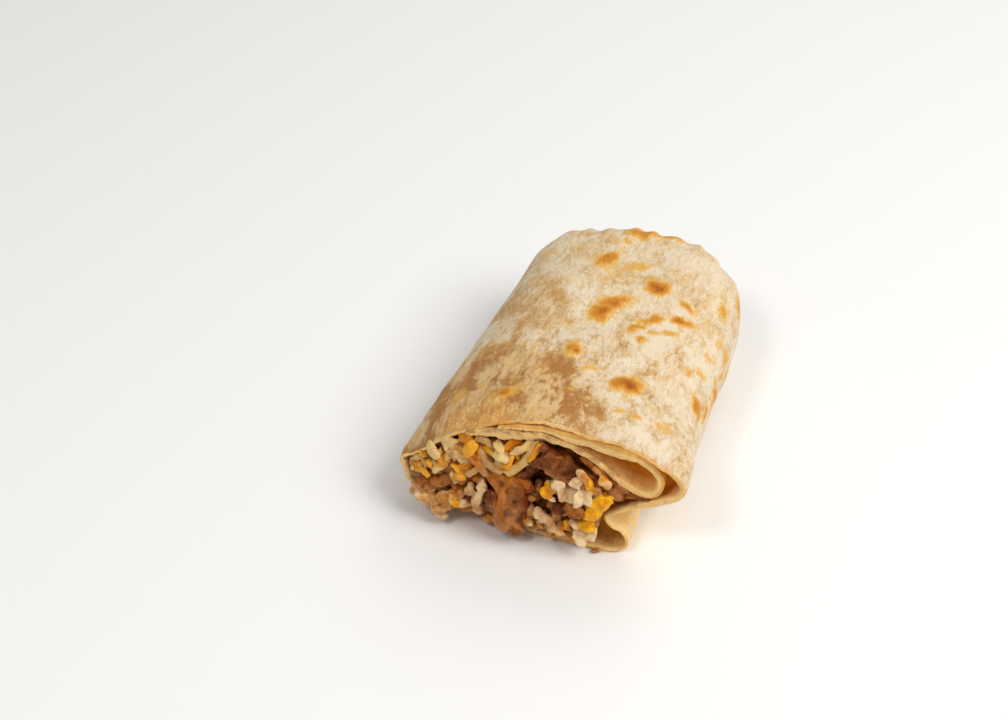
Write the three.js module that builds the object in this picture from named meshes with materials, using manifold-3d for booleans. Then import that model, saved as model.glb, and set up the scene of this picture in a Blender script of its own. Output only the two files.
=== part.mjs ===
// Half of a breakfast burrito, cut across the roll and lying on its side.
// Millimetres, +Z up. The roll runs along Y: its cut end faces -Y and its folded end faces +Y.
// Every section lies in the XZ plane and is worked out from the driving dimensions below.

import * as THREE from "three";
import { mergeVertices } from "three/addons/utils/BufferGeometryUtils.js";
import Module from "manifold-3d";

const wasm = await Module();
wasm.setup();

// ---------------------------------------------------------------- driving dimensions

const ROLL_LENGTH = 105; // from the cut to the folded end
const SHEET = 2.0; // thickness of the flour tortilla
const GAP = 0.3; // kept between pieces that touch

const BODY = {
  halfWidthNear: 38.2, // of the plain roll, where the cut end has faded into it
  halfWidthFar: 33.0,
  halfHeightNear: 21.6,
  halfHeightFar: 20.6,
  centreNear: -3.4, // the roll leans a little towards +X as it goes back
  centreFar: 0.6,
  sunk: 1.2, // the belly is pressed this flat against the table
  squareness: 2.5, // exponent of the superellipse: 2 is an ellipse
};
const END = { height: 20.5, widthRun: 30, heightRun: 20, widthPower: 3.0, heightPower: 2.6 };
const CUT_FADE = 34; // how far back the shape of the cut end reaches
const PLEATS = { count: 9, depth: 1.4, run: 20 };
const LUMP = 0.55; // height of the slow unevenness of the top

// The cut end, once round the outside of the sheet: x, z, and the place in degrees on the plain roll
// that the point fades into. It starts at the left corner, goes over the top to the pointed right lobe,
// back under it down a ramp to a notch, round the small curl below, and home along the table.
const CUT_OUTLINE = [
  [-44.0, 17.7, 180],
  [-41.0, 20.3, 169],
  [-33.5, 27.0, 150],
  [-25.5, 33.4, 131],
  [-15.0, 39.8, 111],
  [-1.5, 43.3, 92],
  [9.0, 43.0, 79],
  [19.8, 42.5, 63],
  [28.6, 39.6, 47],
  [34.6, 36.0, 31],
  [38.6, 30.2, 12],
  [37.2, 26.0, 0],
  [32.5, 22.6, -9],
  [26.0, 19.0, -18],
  [20.5, 16.0, -26],
  [17.2, 13.2, -33],
  [18.8, 10.9, -39],
  [21.6, 9.6, -45],
  [23.3, 6.9, -51],
  [23.4, 3.6, -56],
  [21.0, 0.9, -62],
  [15.5, 0, -69],
  [4.0, 0, -81],
  [-10.0, 0, -97],
  [-24.0, 0, -114],
  [-33.5, 0.9, -131],
  [-39.4, 4.2, -149],
  [-42.6, 10.0, -165],
];
const STEPS_PER_POINT = 3;

// The inner end of the tortilla, under the top: the middle line of the sheet at the cut. It starts at
// the sheet's torn edge, runs right, turns back on itself and runs left over the filling to the wall.
const INNER_FOLD = [
  [-14.5, 38.4],
  [-9.3, 39.6],
  [-2.2, 40.6],
  [6.0, 40.2],
  [12.0, 39.0],
  [18.0, 37.9],
  [23.5, 36.9],
  [28.0, 35.2],
  [31.3, 32.8],
  [32.8, 29.4],
  [31.8, 26.2],
  [28.6, 24.6],
  [25.0, 25.6],
  [21.0, 28.4],
  [17.2, 31.2],
  [12.0, 34.2],
  [6.0, 36.2],
  [-0.5, 37.1],
  [-8.0, 36.5],
  [-15.0, 35.2],
  [-21.5, 34.4],
];
const FOLD_STEPS = 38;
const FOLD_OPEN_DEPTH = 36; // the hollow of the fold is pressed shut beyond this
const FOLD_DEPTH = 92;

// Where one filling meets the next, as lines across the section.
const UNDER_CHEESE = [
  [-60, 7.5],
  [-38, 8.6],
  [-30.5, 7.4],
  [-23, 11.2],
  [-12.8, 18.0],
  [-5.5, 26.0],
  [-2.4, 35.0],
  [-2.0, 60],
];
const UNDER_BEANS = [
  [-23.5, 10.6],
  [-18.5, 6.0],
  [-10.5, 5.2],
  [-3.5, 11.5],
  [5.0, 18.5],
  [14.5, 20.5],
  [24.0, 17.2],
  [60, 13],
];
const UNDER_FOLD = [
  [-22.6, 60],
  [-22.6, 32.9],
  [-15.0, 33.6],
  [-8.0, 34.9],
  [-0.5, 35.6],
  [6.0, 34.6],
  [12.0, 32.3],
  [17.0, 29.4],
  [21.0, 26.6],
  [25.0, 23.7],
  [28.8, 22.8],
  [33.4, 24.6],
  [60, 26],
  [60, 60],
];
const CURL_POCKET = [
  [13.0, -5],
  [14.4, 8.5],
  [16.2, 14.8],
  [60, 14.8],
  [60, -5],
];
const POCKET_DEPTH = 14;

// The filling stands out of the cut in a low crown: its tip, and how much of the section is left at
// each step on the way to it.
const CROWN = { x: -2, y: -5.4, z: 21 };
const CROWN_STEPS = [
  { y: -5.0, share: 0.4 },
  { y: -4.3, share: 0.72 },
  { y: -2.6, share: 0.92 },
];

// What hangs out in front, as centre and radii in x, y, z.
const BEAN_TONGUE = { at: [-11.2, -2.6, 9.9], radii: [6.2, 6.4, 9.5] };
const EGG_CLUMPS = [
  { at: [-33.2, -2.0, 6.2], radii: [6.4, 5.6, 5.8] },
  { at: [7.2, -1.6, 10.4], radii: [7.6, 5.0, 9.4] },
];
const LUMP_DETAIL = 3;

// ---------------------------------------------------------------- small tools

const mix = (a, b, t) => a + (b - a) * t;
const clamp01 = (t) => Math.min(1, Math.max(0, t));
const smooth = (t) => clamp01(t) ** 2 * (3 - 2 * clamp01(t));
const signedPower = (v, p) => Math.sign(v) * Math.abs(v) ** p;

// Runs from 1 down to 0 along a rounded end of the given run; a higher power makes it squarer.
function endCurve(y, run, power) {
  const u = clamp01((y - (ROLL_LENGTH - run)) / run);
  return (1 - u ** power) ** (1 / power);
}

// A three.js geometry as a manifold-3d solid.
function solidOf(geometry) {
  const plain = geometry.index ? geometry.toNonIndexed() : geometry.clone();
  for (const name of ["normal", "uv"]) plain.deleteAttribute(name);
  const merged = mergeVertices(plain, 1e-4);
  return new wasm.Manifold(
    new wasm.Mesh({
      numProp: 3,
      vertProperties: merged.attributes.position.array,
      triVerts: new Uint32Array(merged.index.array),
    }),
  );
}

// A manifold-3d solid as a three.js geometry.
function geometryOf(solid) {
  const mesh = solid.getMesh();
  const geometry = new THREE.BufferGeometry();
  geometry.setAttribute("position", new THREE.BufferAttribute(mesh.vertProperties, 3));
  geometry.setIndex(new THREE.BufferAttribute(mesh.triVerts, 1));
  geometry.computeVertexNormals();
  return geometry;
}

// A prism of an [x, z] outline, from one y to another.
function prism(outline, yFrom, yTo) {
  const shape = new THREE.Shape(outline.map(([x, z]) => new THREE.Vector2(x, z)));
  const geometry = new THREE.ExtrudeGeometry(shape, { depth: yTo - yFrom, bevelEnabled: false });
  geometry.rotateX(Math.PI / 2).translate(0, yTo, 0);
  return solidOf(geometry);
}

function ellipsoid({ at, radii }, grow = 0) {
  const geometry = new THREE.IcosahedronGeometry(1, LUMP_DETAIL);
  geometry.scale(...radii.map((r) => r + grow)).translate(...at);
  return solidOf(geometry);
}

// ---------------------------------------------------------------- sections of the roll

// The cut outline sampled once: { x, z, place } for each step round it, place in radians.
const CUT_SAMPLES = (() => {
  const [first] = CUT_OUTLINE;
  const closed = [...CUT_OUTLINE, [first[0], first[1], first[2] - 360]];
  const path = new THREE.CatmullRomCurve3(
    closed.map(([x, z, place]) => new THREE.Vector3(x, z, THREE.MathUtils.degToRad(place))),
    false,
    "centripetal",
  );
  const points = path.getPoints(CUT_OUTLINE.length * STEPS_PER_POINT).slice(0, -1);
  return points.map((p) => ({ x: p.x, z: p.y, place: p.z }));
})();

// The plain roll at y: a superellipse with a pressed belly, narrowing into the rounded, pleated end.
function rollPoint(place, y) {
  const back = clamp01(y / ROLL_LENGTH);
  const pleat = smooth((y - (ROLL_LENGTH - PLEATS.run)) / PLEATS.run);
  const pinch = 1 - (PLEATS.depth / 20) * pleat * (0.5 + 0.5 * Math.cos(PLEATS.count * place + 0.6));
  const halfWidth = mix(BODY.halfWidthNear, BODY.halfWidthFar, back) * pinch;
  const halfHeight = mix(BODY.halfHeightNear, BODY.halfHeightFar, back) * pinch;
  const power = 2 / BODY.squareness;
  const width = halfWidth * endCurve(y, END.widthRun, END.widthPower);
  const height = halfHeight * endCurve(y, END.heightRun, END.heightPower);
  const middle = mix(halfHeight - BODY.sunk, END.height, smooth((y - 60) / 40));
  return {
    x: mix(BODY.centreNear, BODY.centreFar, back) + width * signedPower(Math.cos(place), power),
    z: middle + height * signedPower(Math.sin(place), power),
  };
}

// Slow unevenness of the top, fading out towards the belly.
function lump(x, y, z) {
  const wave = Math.sin(0.11 * x + 0.062 * y) + 0.7 * Math.sin(0.19 * y - 0.07 * x + 1.3);
  return LUMP * wave * smooth(z / 30) * endCurve(y, END.heightRun, 2);
}

// The outside of the sheet at y, as [x, z] points in step with CUT_SAMPLES.
function outline(y) {
  const cut = 1 - smooth(y / CUT_FADE);
  return CUT_SAMPLES.map((sample) => {
    const roll = rollPoint(sample.place, y);
    const x = mix(roll.x, sample.x, cut);
    const z = mix(roll.z, sample.z, cut);
    return [x, Math.max(0, z + lump(x, y, z) * (1 - cut))];
  });
}

// The outline moved inwards by a distance, each point square to the line between those two away from it.
function inset(points, distance) {
  const count = points.length;
  return points.map((point, i) => {
    const before = points[(i + count - 2) % count];
    const after = points[(i + 2) % count];
    const along = [after[0] - before[0], after[1] - before[1]];
    const size = Math.hypot(...along);
    return [point[0] + (along[1] / size) * distance, point[1] - (along[0] / size) * distance];
  });
}

// ---------------------------------------------------------------- lofts

// Joins rings of equal length into triangles; each ring is { y, points }. Rings go towards +Y.
function skin(rings, triangles, turned) {
  const at = (ring, i) => {
    const [x, z] = ring.points[i % ring.points.length];
    return new THREE.Vector3(x, ring.y, z);
  };
  const push = (a, b, c) => triangles.push(...(turned ? [a, c, b] : [a, b, c]));
  for (let r = 0; r + 1 < rings.length; r++) {
    for (let i = 0; i < rings[r].points.length; i++) {
      const [a, b] = [at(rings[r], i), at(rings[r], i + 1)];
      const [c, d] = [at(rings[r + 1], i), at(rings[r + 1], i + 1)];
      push(a, b, c);
      push(b, d, c);
    }
  }
}

// Closes a ring with a fan to one point beyond it.
function fan(ring, tip, triangles, turned) {
  ring.points.forEach(([x, z], i) => {
    const next = ring.points[(i + 1) % ring.points.length];
    const a = new THREE.Vector3(x, ring.y, z);
    const b = new THREE.Vector3(next[0], ring.y, next[1]);
    triangles.push(...(turned ? [a, tip, b] : [a, b, tip]));
  });
}

function loftSolid(triangles) {
  return solidOf(new THREE.BufferGeometry().setFromPoints(triangles));
}

const OUTER_STATIONS = [0, 4, 9, 15, 22, 29, 37, 47, 57, 66, 74, 81, 87, 92, 96, 99.3, 101.8, 103.6, 104.6];
const INNER_STATIONS = [0, 5, 11, 18, 26, 37, 58, 80, 90, 96, 100.5];
const INNER_REACH = (ROLL_LENGTH - 1.6 * SHEET) / ROLL_LENGTH; // the end wall is as thick as the sheet

// Rings of the roll's inside, a distance in from the outside of the sheet.
function innerRings(distance) {
  return INNER_STATIONS.map((y) => ({ y: y * INNER_REACH, points: inset(outline(y), distance) }));
}

const END_TIP = new THREE.Vector3(BODY.centreFar, ROLL_LENGTH, END.height);
const INNER_TIP = new THREE.Vector3(BODY.centreFar, 102 * INNER_REACH, END.height);

// The sheet as a shell: outside, inside and the rim between them at the cut.
function shellSolid() {
  const triangles = [];
  const outside = OUTER_STATIONS.map((y) => ({ y, points: outline(y) }));
  const inside = innerRings(SHEET);
  skin(outside, triangles, false);
  fan(outside.at(-1), END_TIP, triangles, false);
  skin(inside, triangles, true);
  fan(inside.at(-1), INNER_TIP, triangles, true);
  skin([outside[0], inside[0]], triangles, true);
  return loftSolid(triangles);
}

// The whole roll with no hollow, to trim what lies inside it.
function rollSolid() {
  const triangles = [];
  const outside = OUTER_STATIONS.map((y) => ({ y, points: inset(outline(y), SHEET / 2) }));
  skin(outside, triangles, false);
  fan(outside.at(-1), END_TIP, triangles, false);
  fan(outside[0], new THREE.Vector3(CROWN.x, 0, CROWN.z), triangles, true);
  return loftSolid(triangles);
}

// All that the sheet holds, with its front standing out of the cut.
function coreSolid() {
  const triangles = [];
  const inside = innerRings(SHEET + GAP);
  const front = CROWN_STEPS.map(({ y, share }) => ({
    y,
    points: inside[0].points.map(([x, z], i) => {
      const uneven = share * (1 + 0.2 * (1 - share) * Math.sin(i * 0.9 + y));
      return [mix(CROWN.x, x, uneven), mix(CROWN.z, z, uneven)];
    }),
  }));
  const rings = [...front, ...inside];
  skin(rings, triangles, false);
  fan(rings.at(-1), INNER_TIP.clone().setY(INNER_TIP.y - GAP), triangles, false);
  fan(rings[0], new THREE.Vector3(CROWN.x, CROWN.y, CROWN.z), triangles, true);
  return loftSolid(triangles);
}

// ---------------------------------------------------------------- pieces

// The folded inner end of the sheet, as a closed [x, z] outline of the given thickness.
function foldOutline(thickness) {
  const line = new THREE.SplineCurve(INNER_FOLD.map(([x, z]) => new THREE.Vector2(x, z)));
  const side = (sign) =>
    Array.from({ length: FOLD_STEPS + 1 }, (_, i) => {
      const point = line.getPoint(i / FOLD_STEPS);
      const along = line.getTangent(i / FOLD_STEPS);
      return [point.x - sign * along.y * (thickness / 2), point.y + sign * along.x * (thickness / 2)];
    });
  return [...side(1), ...side(-1).reverse()];
}

function tortilla() {
  const strip = prism(foldOutline(SHEET), 0, FOLD_DEPTH);
  const pressed = prism(INNER_FOLD, FOLD_OPEN_DEPTH, FOLD_DEPTH);
  return shellSolid().add(strip.add(pressed).intersect(rollSolid()));
}

const FAR = 60; // past every outline
const BACK = ROLL_LENGTH + 5;
const FRONT = -15;

const lowered = (line, drop) => line.map(([x, z]) => [x, z - drop]);

// Lumps as one solid, only as far back as the cut so that they clear the sheet's rim.
function lumps(list) {
  const front = list.map((shape) => ellipsoid(shape).trimByPlane([0, -1, 0], GAP));
  return front.reduce((sum, solid) => sum.add(solid));
}

// The room that lumps need in a neighbouring piece.
const roomFor = (list) => list.map((shape) => ellipsoid(shape, GAP)).reduce((sum, solid) => sum.add(solid));

function cheese(core) {
  const region = prism([...UNDER_CHEESE, [-FAR, FAR]], FRONT, BACK);
  return core.intersect(region).subtract(roomFor([BEAN_TONGUE, ...EGG_CLUMPS]));
}

function beans(core) {
  const side = UNDER_CHEESE.filter(([x]) => x > UNDER_BEANS[0][0]).map(([x, z]) => [x + GAP, z - GAP]);
  const region = prism([...UNDER_BEANS, [FAR, FAR], ...side.reverse()], FRONT, BACK);
  return core.intersect(region).subtract(roomFor(EGG_CLUMPS)).add(lumps([BEAN_TONGUE]));
}

function egg(core) {
  const left = UNDER_CHEESE.filter(([x]) => x < UNDER_BEANS[0][0]);
  const top = lowered([...left, ...UNDER_BEANS], GAP);
  const region = prism([...top, [FAR, -5], [-FAR, -5]], FRONT, BACK);
  const pocket = prism(CURL_POCKET, FRONT, POCKET_DEPTH);
  const layer = core.intersect(region).subtract(pocket);
  return layer.add(lumps(EGG_CLUMPS)).subtract(roomFor([BEAN_TONGUE]));
}

const LOOKS = {
  tortilla: { color: 0xe3c79a, roughness: 0.75, metalness: 0 },
  cheese: { color: 0xefb53a, roughness: 0.4, metalness: 0 },
  beans: { color: 0x7a4a33, roughness: 0.45, metalness: 0 },
  egg: { color: 0xeed48a, roughness: 0.5, metalness: 0 },
};

function piece(name, solid) {
  const mesh = new THREE.Mesh(geometryOf(solid), new THREE.MeshStandardMaterial(LOOKS[name]));
  mesh.name = name;
  return mesh;
}

function burrito() {
  const core = coreSolid().subtract(prism(UNDER_FOLD, FRONT, BACK));
  const group = new THREE.Group();
  group.add(piece("tortilla", tortilla()));
  group.add(piece("cheese", cheese(core)));
  group.add(piece("beans", beans(core)));
  group.add(piece("egg", egg(core)));
  return group;
}

// The origin is under the middle of the whole, on the table.
const group = burrito();
const box = new THREE.Box3().setFromObject(group, true);
const middle = box.getCenter(new THREE.Vector3());
group.position.set(-middle.x, -middle.y, -box.min.z);

export default group;
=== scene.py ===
"""Half of a breakfast burrito: a toasted flour tortilla rolled round cheese, beans and egg, cut across.

Shapes are worked out in millimetres in the roll's own frame: x across the roll, y from the cut towards
the folded end, z up from the table. Roll.place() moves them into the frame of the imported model.
"""

import logging
import math
from dataclasses import dataclass, field
from enum import Enum
from functools import reduce
from typing import Sequence

import bpy
import numpy as np
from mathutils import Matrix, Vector
from numpy.typing import NDArray


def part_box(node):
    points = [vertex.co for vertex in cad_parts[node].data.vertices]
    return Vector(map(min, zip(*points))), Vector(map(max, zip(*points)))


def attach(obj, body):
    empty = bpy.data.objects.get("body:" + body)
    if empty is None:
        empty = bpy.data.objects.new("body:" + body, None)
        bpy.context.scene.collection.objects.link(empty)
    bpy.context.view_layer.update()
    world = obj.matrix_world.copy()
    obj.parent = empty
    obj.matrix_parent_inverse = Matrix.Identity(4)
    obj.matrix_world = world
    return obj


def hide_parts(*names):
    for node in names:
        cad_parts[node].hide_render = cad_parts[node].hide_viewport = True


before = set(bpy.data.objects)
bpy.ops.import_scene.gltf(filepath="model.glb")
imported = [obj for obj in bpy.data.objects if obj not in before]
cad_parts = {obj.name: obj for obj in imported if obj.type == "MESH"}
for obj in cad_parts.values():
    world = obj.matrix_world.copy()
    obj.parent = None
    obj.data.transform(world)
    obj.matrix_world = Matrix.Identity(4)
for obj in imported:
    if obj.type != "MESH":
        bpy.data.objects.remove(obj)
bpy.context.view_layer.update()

BODY = "root"
MM = 0.001

Array = NDArray[np.float64]
Point = tuple[float, float, float]
Colour = tuple[int, int, int]
Socket = bpy.types.NodeSocket

LOG = logging.getLogger("burrito")


class Slot(Enum):
    """The material slots."""

    TORTILLA = "tortilla"
    CHEESE = "cheese"
    BEANS = "beans"
    EGG = "egg"


# -------------------- arithmetic


def ease(t: Array) -> Array:
    """Smooth step 3t² − 2t³, with t held between 0 and 1."""
    held = np.clip(t, 0.0, 1.0)
    return held * held * (3.0 - 2.0 * held)


def mix(a: Array, b: Array, t: Array) -> Array:
    """The straight blend a + (b − a)·t."""
    return a + (b - a) * t


def power(value: Array, exponent: float) -> Array:
    """The size of a value raised to a power, with the value's sign kept."""
    return np.sign(value) * np.abs(value) ** exponent


def unit(vectors: Array) -> Array:
    """Vectors scaled to length 1."""
    return vectors / np.maximum(np.linalg.norm(vectors, axis=-1, keepdims=True), 1e-9)


def spline(points: Array, t: Array) -> Array:
    """A centripetal Catmull-Rom curve: a cubic through each pair of points, whose end slopes come from the
    neighbours weighted by the square roots of the distances between them.

    Args:
        points: The points that the curve passes, one in a row, with one more before and after its ends.
        t: Where on the curve, 0 at the second point and 1 more at each point after it.

    Returns:
        One row for each t.
    """
    first = np.clip(np.floor(t).astype(int), 0, len(points) - 4)
    w = (t - first)[:, None]
    p0, p1, p2, p3 = (points[first + k] for k in range(4))
    a, b, c = (
        np.maximum(np.linalg.norm(q - p, axis=1, keepdims=True), 1e-6) ** 0.5
        for p, q in ((p0, p1), (p1, p2), (p2, p3))
    )
    start = b * ((p1 - p0) / a - (p2 - p0) / (a + b) + (p2 - p1) / b)
    end = b * ((p2 - p1) / b - (p3 - p1) / (b + c) + (p3 - p2) / c)
    return (
        p1 + start * w + (3 * (p2 - p1) - 2 * start - end) * w**2 + (2 * (p1 - p2) + start + end) * w**3
    )


def even_curve(points: Sequence[Sequence[float]], count: int, closed: bool = False) -> Array:
    """Points evenly spaced along a Catmull-Rom curve.

    Args:
        points: The points that the curve passes.
        count: How many points to give back.
        closed: Whether the curve returns to its start.

    Returns:
        An array of count rows.
    """
    given = np.array(points, float)
    if closed:
        padded = np.vstack([given[-1:], given, given[:2]])
    else:
        padded = np.vstack([2 * given[0] - given[1], given, 2 * given[-1] - given[-2]])
    spans = len(padded) - 3
    t = np.linspace(0.0, spans, spans * 40 + 1)
    fine = spline(padded, t)
    along = np.concatenate([[0.0], np.cumsum(np.linalg.norm(np.diff(fine, axis=0), axis=1))])
    wanted = np.linspace(0.0, along[-1], count + 1)[:-1] if closed else np.linspace(0.0, along[-1], count)
    return np.stack([np.interp(wanted, along, column) for column in fine.T], axis=1)


def grid_normals(points: Array, wrap_columns: bool) -> Array:
    """Unit normals of a grid: the way to the next column crossed with the way to the next row.

    Args:
        points: Rows by columns by 3.
        wrap_columns: Whether the last column meets the first.

    Returns:
        An array of the same shape.
    """
    down = np.gradient(points, axis=0)
    if wrap_columns:
        across = np.roll(points, -1, axis=1) - np.roll(points, 1, axis=1)
    else:
        across = np.gradient(points, axis=1)
    return unit(np.cross(across, down))


class Noise:
    """Smooth random values over space, the same on every run."""

    def __init__(self, seed: int) -> None:
        """Draws the lattice's order and its slopes.

        Args:
            seed: Which noise this is.
        """
        rng = np.random.default_rng(seed)
        self._order = rng.permutation(256)
        self._slopes = unit(rng.normal(size=(256, 3)))

    def at(self, points: Array, size: float) -> Array:
        """Gradient noise: at each corner of a point's lattice cell the corner's slope is dotted with the
        way from the corner, and the eight are blended by 6t⁵ − 15t⁴ + 10t³.

        Args:
            points: Any shape, with x, y, z last, in millimetres.
            size: The width of a lattice cell in millimetres.

        Returns:
            A value of about -1 to 1 for each point.
        """
        scaled = points / size
        cell = np.floor(scaled).astype(np.int64)
        local = scaled - cell
        fade = local**3 * (local * (local * 6 - 15) + 10)
        total = np.zeros(points.shape[:-1])
        for corner in np.ndindex(2, 2, 2):
            step = np.array(corner)
            x, y, z = np.moveaxis((cell + step) & 255, -1, 0)
            drawn = self._order[(self._order[(self._order[x] + y) & 255] + z) & 255]
            weight = np.prod(np.where(step == 1, fade, 1 - fade), axis=-1)
            total += weight * np.sum(self._slopes[drawn] * (local - step), axis=-1)
        return total * 1.6

    def layered(self, points: Array, size: float, layers: int, fade: float = 0.5) -> Array:
        """The sum of several noises, each half the size and a share of the strength of the one before.

        Args:
            points: Any shape, with x, y, z last.
            size: The size of the widest noise in millimetres.
            layers: How many noises.
            fade: Each one's strength as a share of the last.

        Returns:
            A value for each point.
        """
        return sum(self.at(points + 17.3 * k, size / 2**k) * fade**k for k in range(layers))


# -------------------- meshes


@dataclass
class Skin:
    """Points and faces of one piece, gathered grid by grid."""

    points: list[Array] = field(default_factory=list)
    quads: list[Array] = field(default_factory=list)
    triangles: list[Array] = field(default_factory=list)
    values: dict[str, list[Array]] = field(default_factory=dict)
    count: int = 0

    def add_points(self, points: Array, values: dict[str, Array]) -> Array:
        """Adds points and what they carry.

        Args:
            points: Any shape, with x, y, z last.
            values: Named numbers for each point, of the points' shape without its last axis.

        Returns:
            The index of each point, in that shape.
        """
        shape = points.shape[:-1]
        index = np.arange(self.count, self.count + math.prod(shape)).reshape(shape)
        self.points.append(points.reshape(-1, 3))
        self.count += index.size
        for name, value in values.items():
            self.values.setdefault(name, []).append(np.broadcast_to(value, shape).reshape(-1))
        return index

    def add_tubes(
        self, grids: Array, tips: tuple[Array, Array], values: dict[str, Array] | None = None
    ) -> None:
        """Adds closed shapes: grids whose last column meets the first, each closed by a fan at both ends.

        Args:
            grids: Shapes by rows by columns by 3.
            tips: The point that closes the first row and the one that closes the last, shapes by 3 each.
            values: Named numbers for each grid point. A tip carries the mean of its row's.
        """
        carried = {name: np.broadcast_to(v, grids.shape[:-1]) for name, v in (values or {}).items()}
        index = self.add_points(grids, carried)
        ring = np.concatenate([index, index[:, :, :1]], axis=2)
        a, b, c, d = ring[:, :-1, :-1], ring[:, :-1, 1:], ring[:, 1:, 1:], ring[:, 1:, :-1]
        self.quads.append(np.stack([a, b, c, d], axis=-1).reshape(-1, 4))
        for row, tip, turned in ((0, tips[0], True), (-1, tips[1], False)):
            top = self.add_points(tip, {name: v[:, row].mean(axis=1) for name, v in carried.items()})
            left, right = ring[:, row, :-1], ring[:, row, 1:]
            middle = np.broadcast_to(top[:, None], left.shape)
            order = [right, left, middle] if turned else [left, right, middle]
            self.triangles.append(np.stack(order, axis=-1).reshape(-1, 3))

    def make(self, name: str, roll: "Roll") -> bpy.types.Object:
        """Makes the piece, with faces pointing out, smooth shading and its values as point attributes.

        Args:
            name: The piece's name.
            roll: Moves the points into the model's frame.

        Returns:
            The new object, at the origin.
        """
        points = roll.place(np.concatenate(self.points))
        faces = [np.concatenate(group) for group in (self.quads, self.triangles) if group]
        if enclosed_volume(points, faces) < 0:
            faces = [f[:, ::-1] for f in faces]
        mesh = mesh_of(name, points, faces)
        for label, parts in self.values.items():
            write_values(mesh, label, np.concatenate(parts))
        piece = bpy.data.objects.new(name, mesh)
        bpy.context.scene.collection.objects.link(piece)
        return piece


def enclosed_volume(points: Array, faces: Sequence[Array]) -> float:
    """The volume inside closed faces: a sixth of the sum of a · (b × c) over triangles from each face's
    first corner.

    Args:
        points: One row for each point.
        faces: Arrays of point indices, each with one number of corners.

    Returns:
        The volume, below 0 where the faces point inwards.
    """
    total = 0.0
    for group in faces:
        for k in range(1, group.shape[1] - 1):
            a, b, c = points[group[:, 0]], points[group[:, k]], points[group[:, k + 1]]
            total += float(np.einsum("ij,ij->i", a, np.cross(b, c)).sum()) / 6.0
    return total


def mesh_of(name: str, points: Array, faces: Sequence[Array]) -> bpy.types.Mesh:
    """Makes a mesh from arrays.

    Args:
        name: The mesh's name.
        points: One row for each point, in metres.
        faces: Arrays of point indices, each with one number of corners.

    Returns:
        The mesh, shaded smooth.
    """
    mesh = bpy.data.meshes.new(name)
    corners = np.concatenate([f.reshape(-1) for f in faces])
    sizes = np.concatenate([np.full(len(f), f.shape[1]) for f in faces])
    mesh.vertices.add(len(points))
    mesh.vertices.foreach_set("co", points.reshape(-1))
    mesh.loops.add(len(corners))
    mesh.loops.foreach_set("vertex_index", corners)
    mesh.polygons.add(len(sizes))
    mesh.polygons.foreach_set("loop_start", np.concatenate([[0], np.cumsum(sizes)[:-1]]))
    mesh.polygons.foreach_set("use_smooth", np.ones(len(sizes), bool))
    mesh.update(calc_edges=True)
    mesh.validate()
    return mesh


def write_values(mesh: bpy.types.Mesh, name: str, values: Array) -> None:
    """Stores one number for each point of a mesh under a name."""
    attribute = mesh.attributes.new(name, "FLOAT", "POINT")
    attribute.data.foreach_set("value", values.astype(np.float32))


def read_points(mesh: bpy.types.Mesh) -> tuple[Array, Array]:
    """Reads a mesh's points and normals.

    Args:
        mesh: The mesh.

    Returns:
        One row for each point, and one for its unit normal.
    """
    points = np.empty(len(mesh.vertices) * 3, np.float32)
    normals = np.empty(len(mesh.vertices) * 3, np.float32)
    mesh.vertices.foreach_get("co", points)
    mesh.vertices.foreach_get("normal", normals)
    return points.reshape(-1, 3).astype(float), normals.reshape(-1, 3).astype(float)


def fuse(piece: bpy.types.Object, voxel: float, softening: int) -> None:
    """Joins a piece's overlapping shapes into one skin by a voxel remesh, and softens where they meet.

    Args:
        piece: The object, whose mesh is replaced.
        voxel: The width of a voxel in millimetres.
        softening: How many times each point moves halfway to its neighbours' mean.
    """
    join = piece.modifiers.new("join", "REMESH")
    join.mode = "VOXEL"
    join.voxel_size = voxel * MM
    soften = piece.modifiers.new("soften", "SMOOTH")
    soften.iterations = softening
    seen = piece.evaluated_get(bpy.context.evaluated_depsgraph_get())
    fused = bpy.data.meshes.new_from_object(seen)
    piece.modifiers.clear()
    loose = piece.data
    piece.data = fused
    fused.name = piece.name
    bpy.data.meshes.remove(loose)
    fused.shade_smooth()


def hollowness(mesh: bpy.types.Mesh, points: Array, normals: Array, rounds: int) -> Array:
    """How deep each point lies in a hollow of its surface: how far the mean of its neighbours, taken a few
    times over, stands out along its normal. A ridge has a value below 0.

    Args:
        mesh: Gives the edges.
        points: The mesh's points.
        normals: The points' normals.
        rounds: How many times the neighbours' mean is taken. More rounds find wider hollows.

    Returns:
        A length for each point, in the points' units.
    """
    ends = np.empty(len(mesh.edges) * 2, np.int32)
    mesh.edges.foreach_get("vertices", ends)
    a, b = ends.reshape(-1, 2).T
    count = len(points)
    degree = np.maximum(np.bincount(ends, minlength=count), 1)[:, None]
    mean = points
    for _ in range(rounds):
        sums = [np.bincount(a, mean[b, k], count) + np.bincount(b, mean[a, k], count) for k in range(3)]
        mean = np.stack(sums, axis=1) / degree
    return np.einsum("ij,ij->i", mean - points, normals)


# -------------------- the roll


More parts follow.
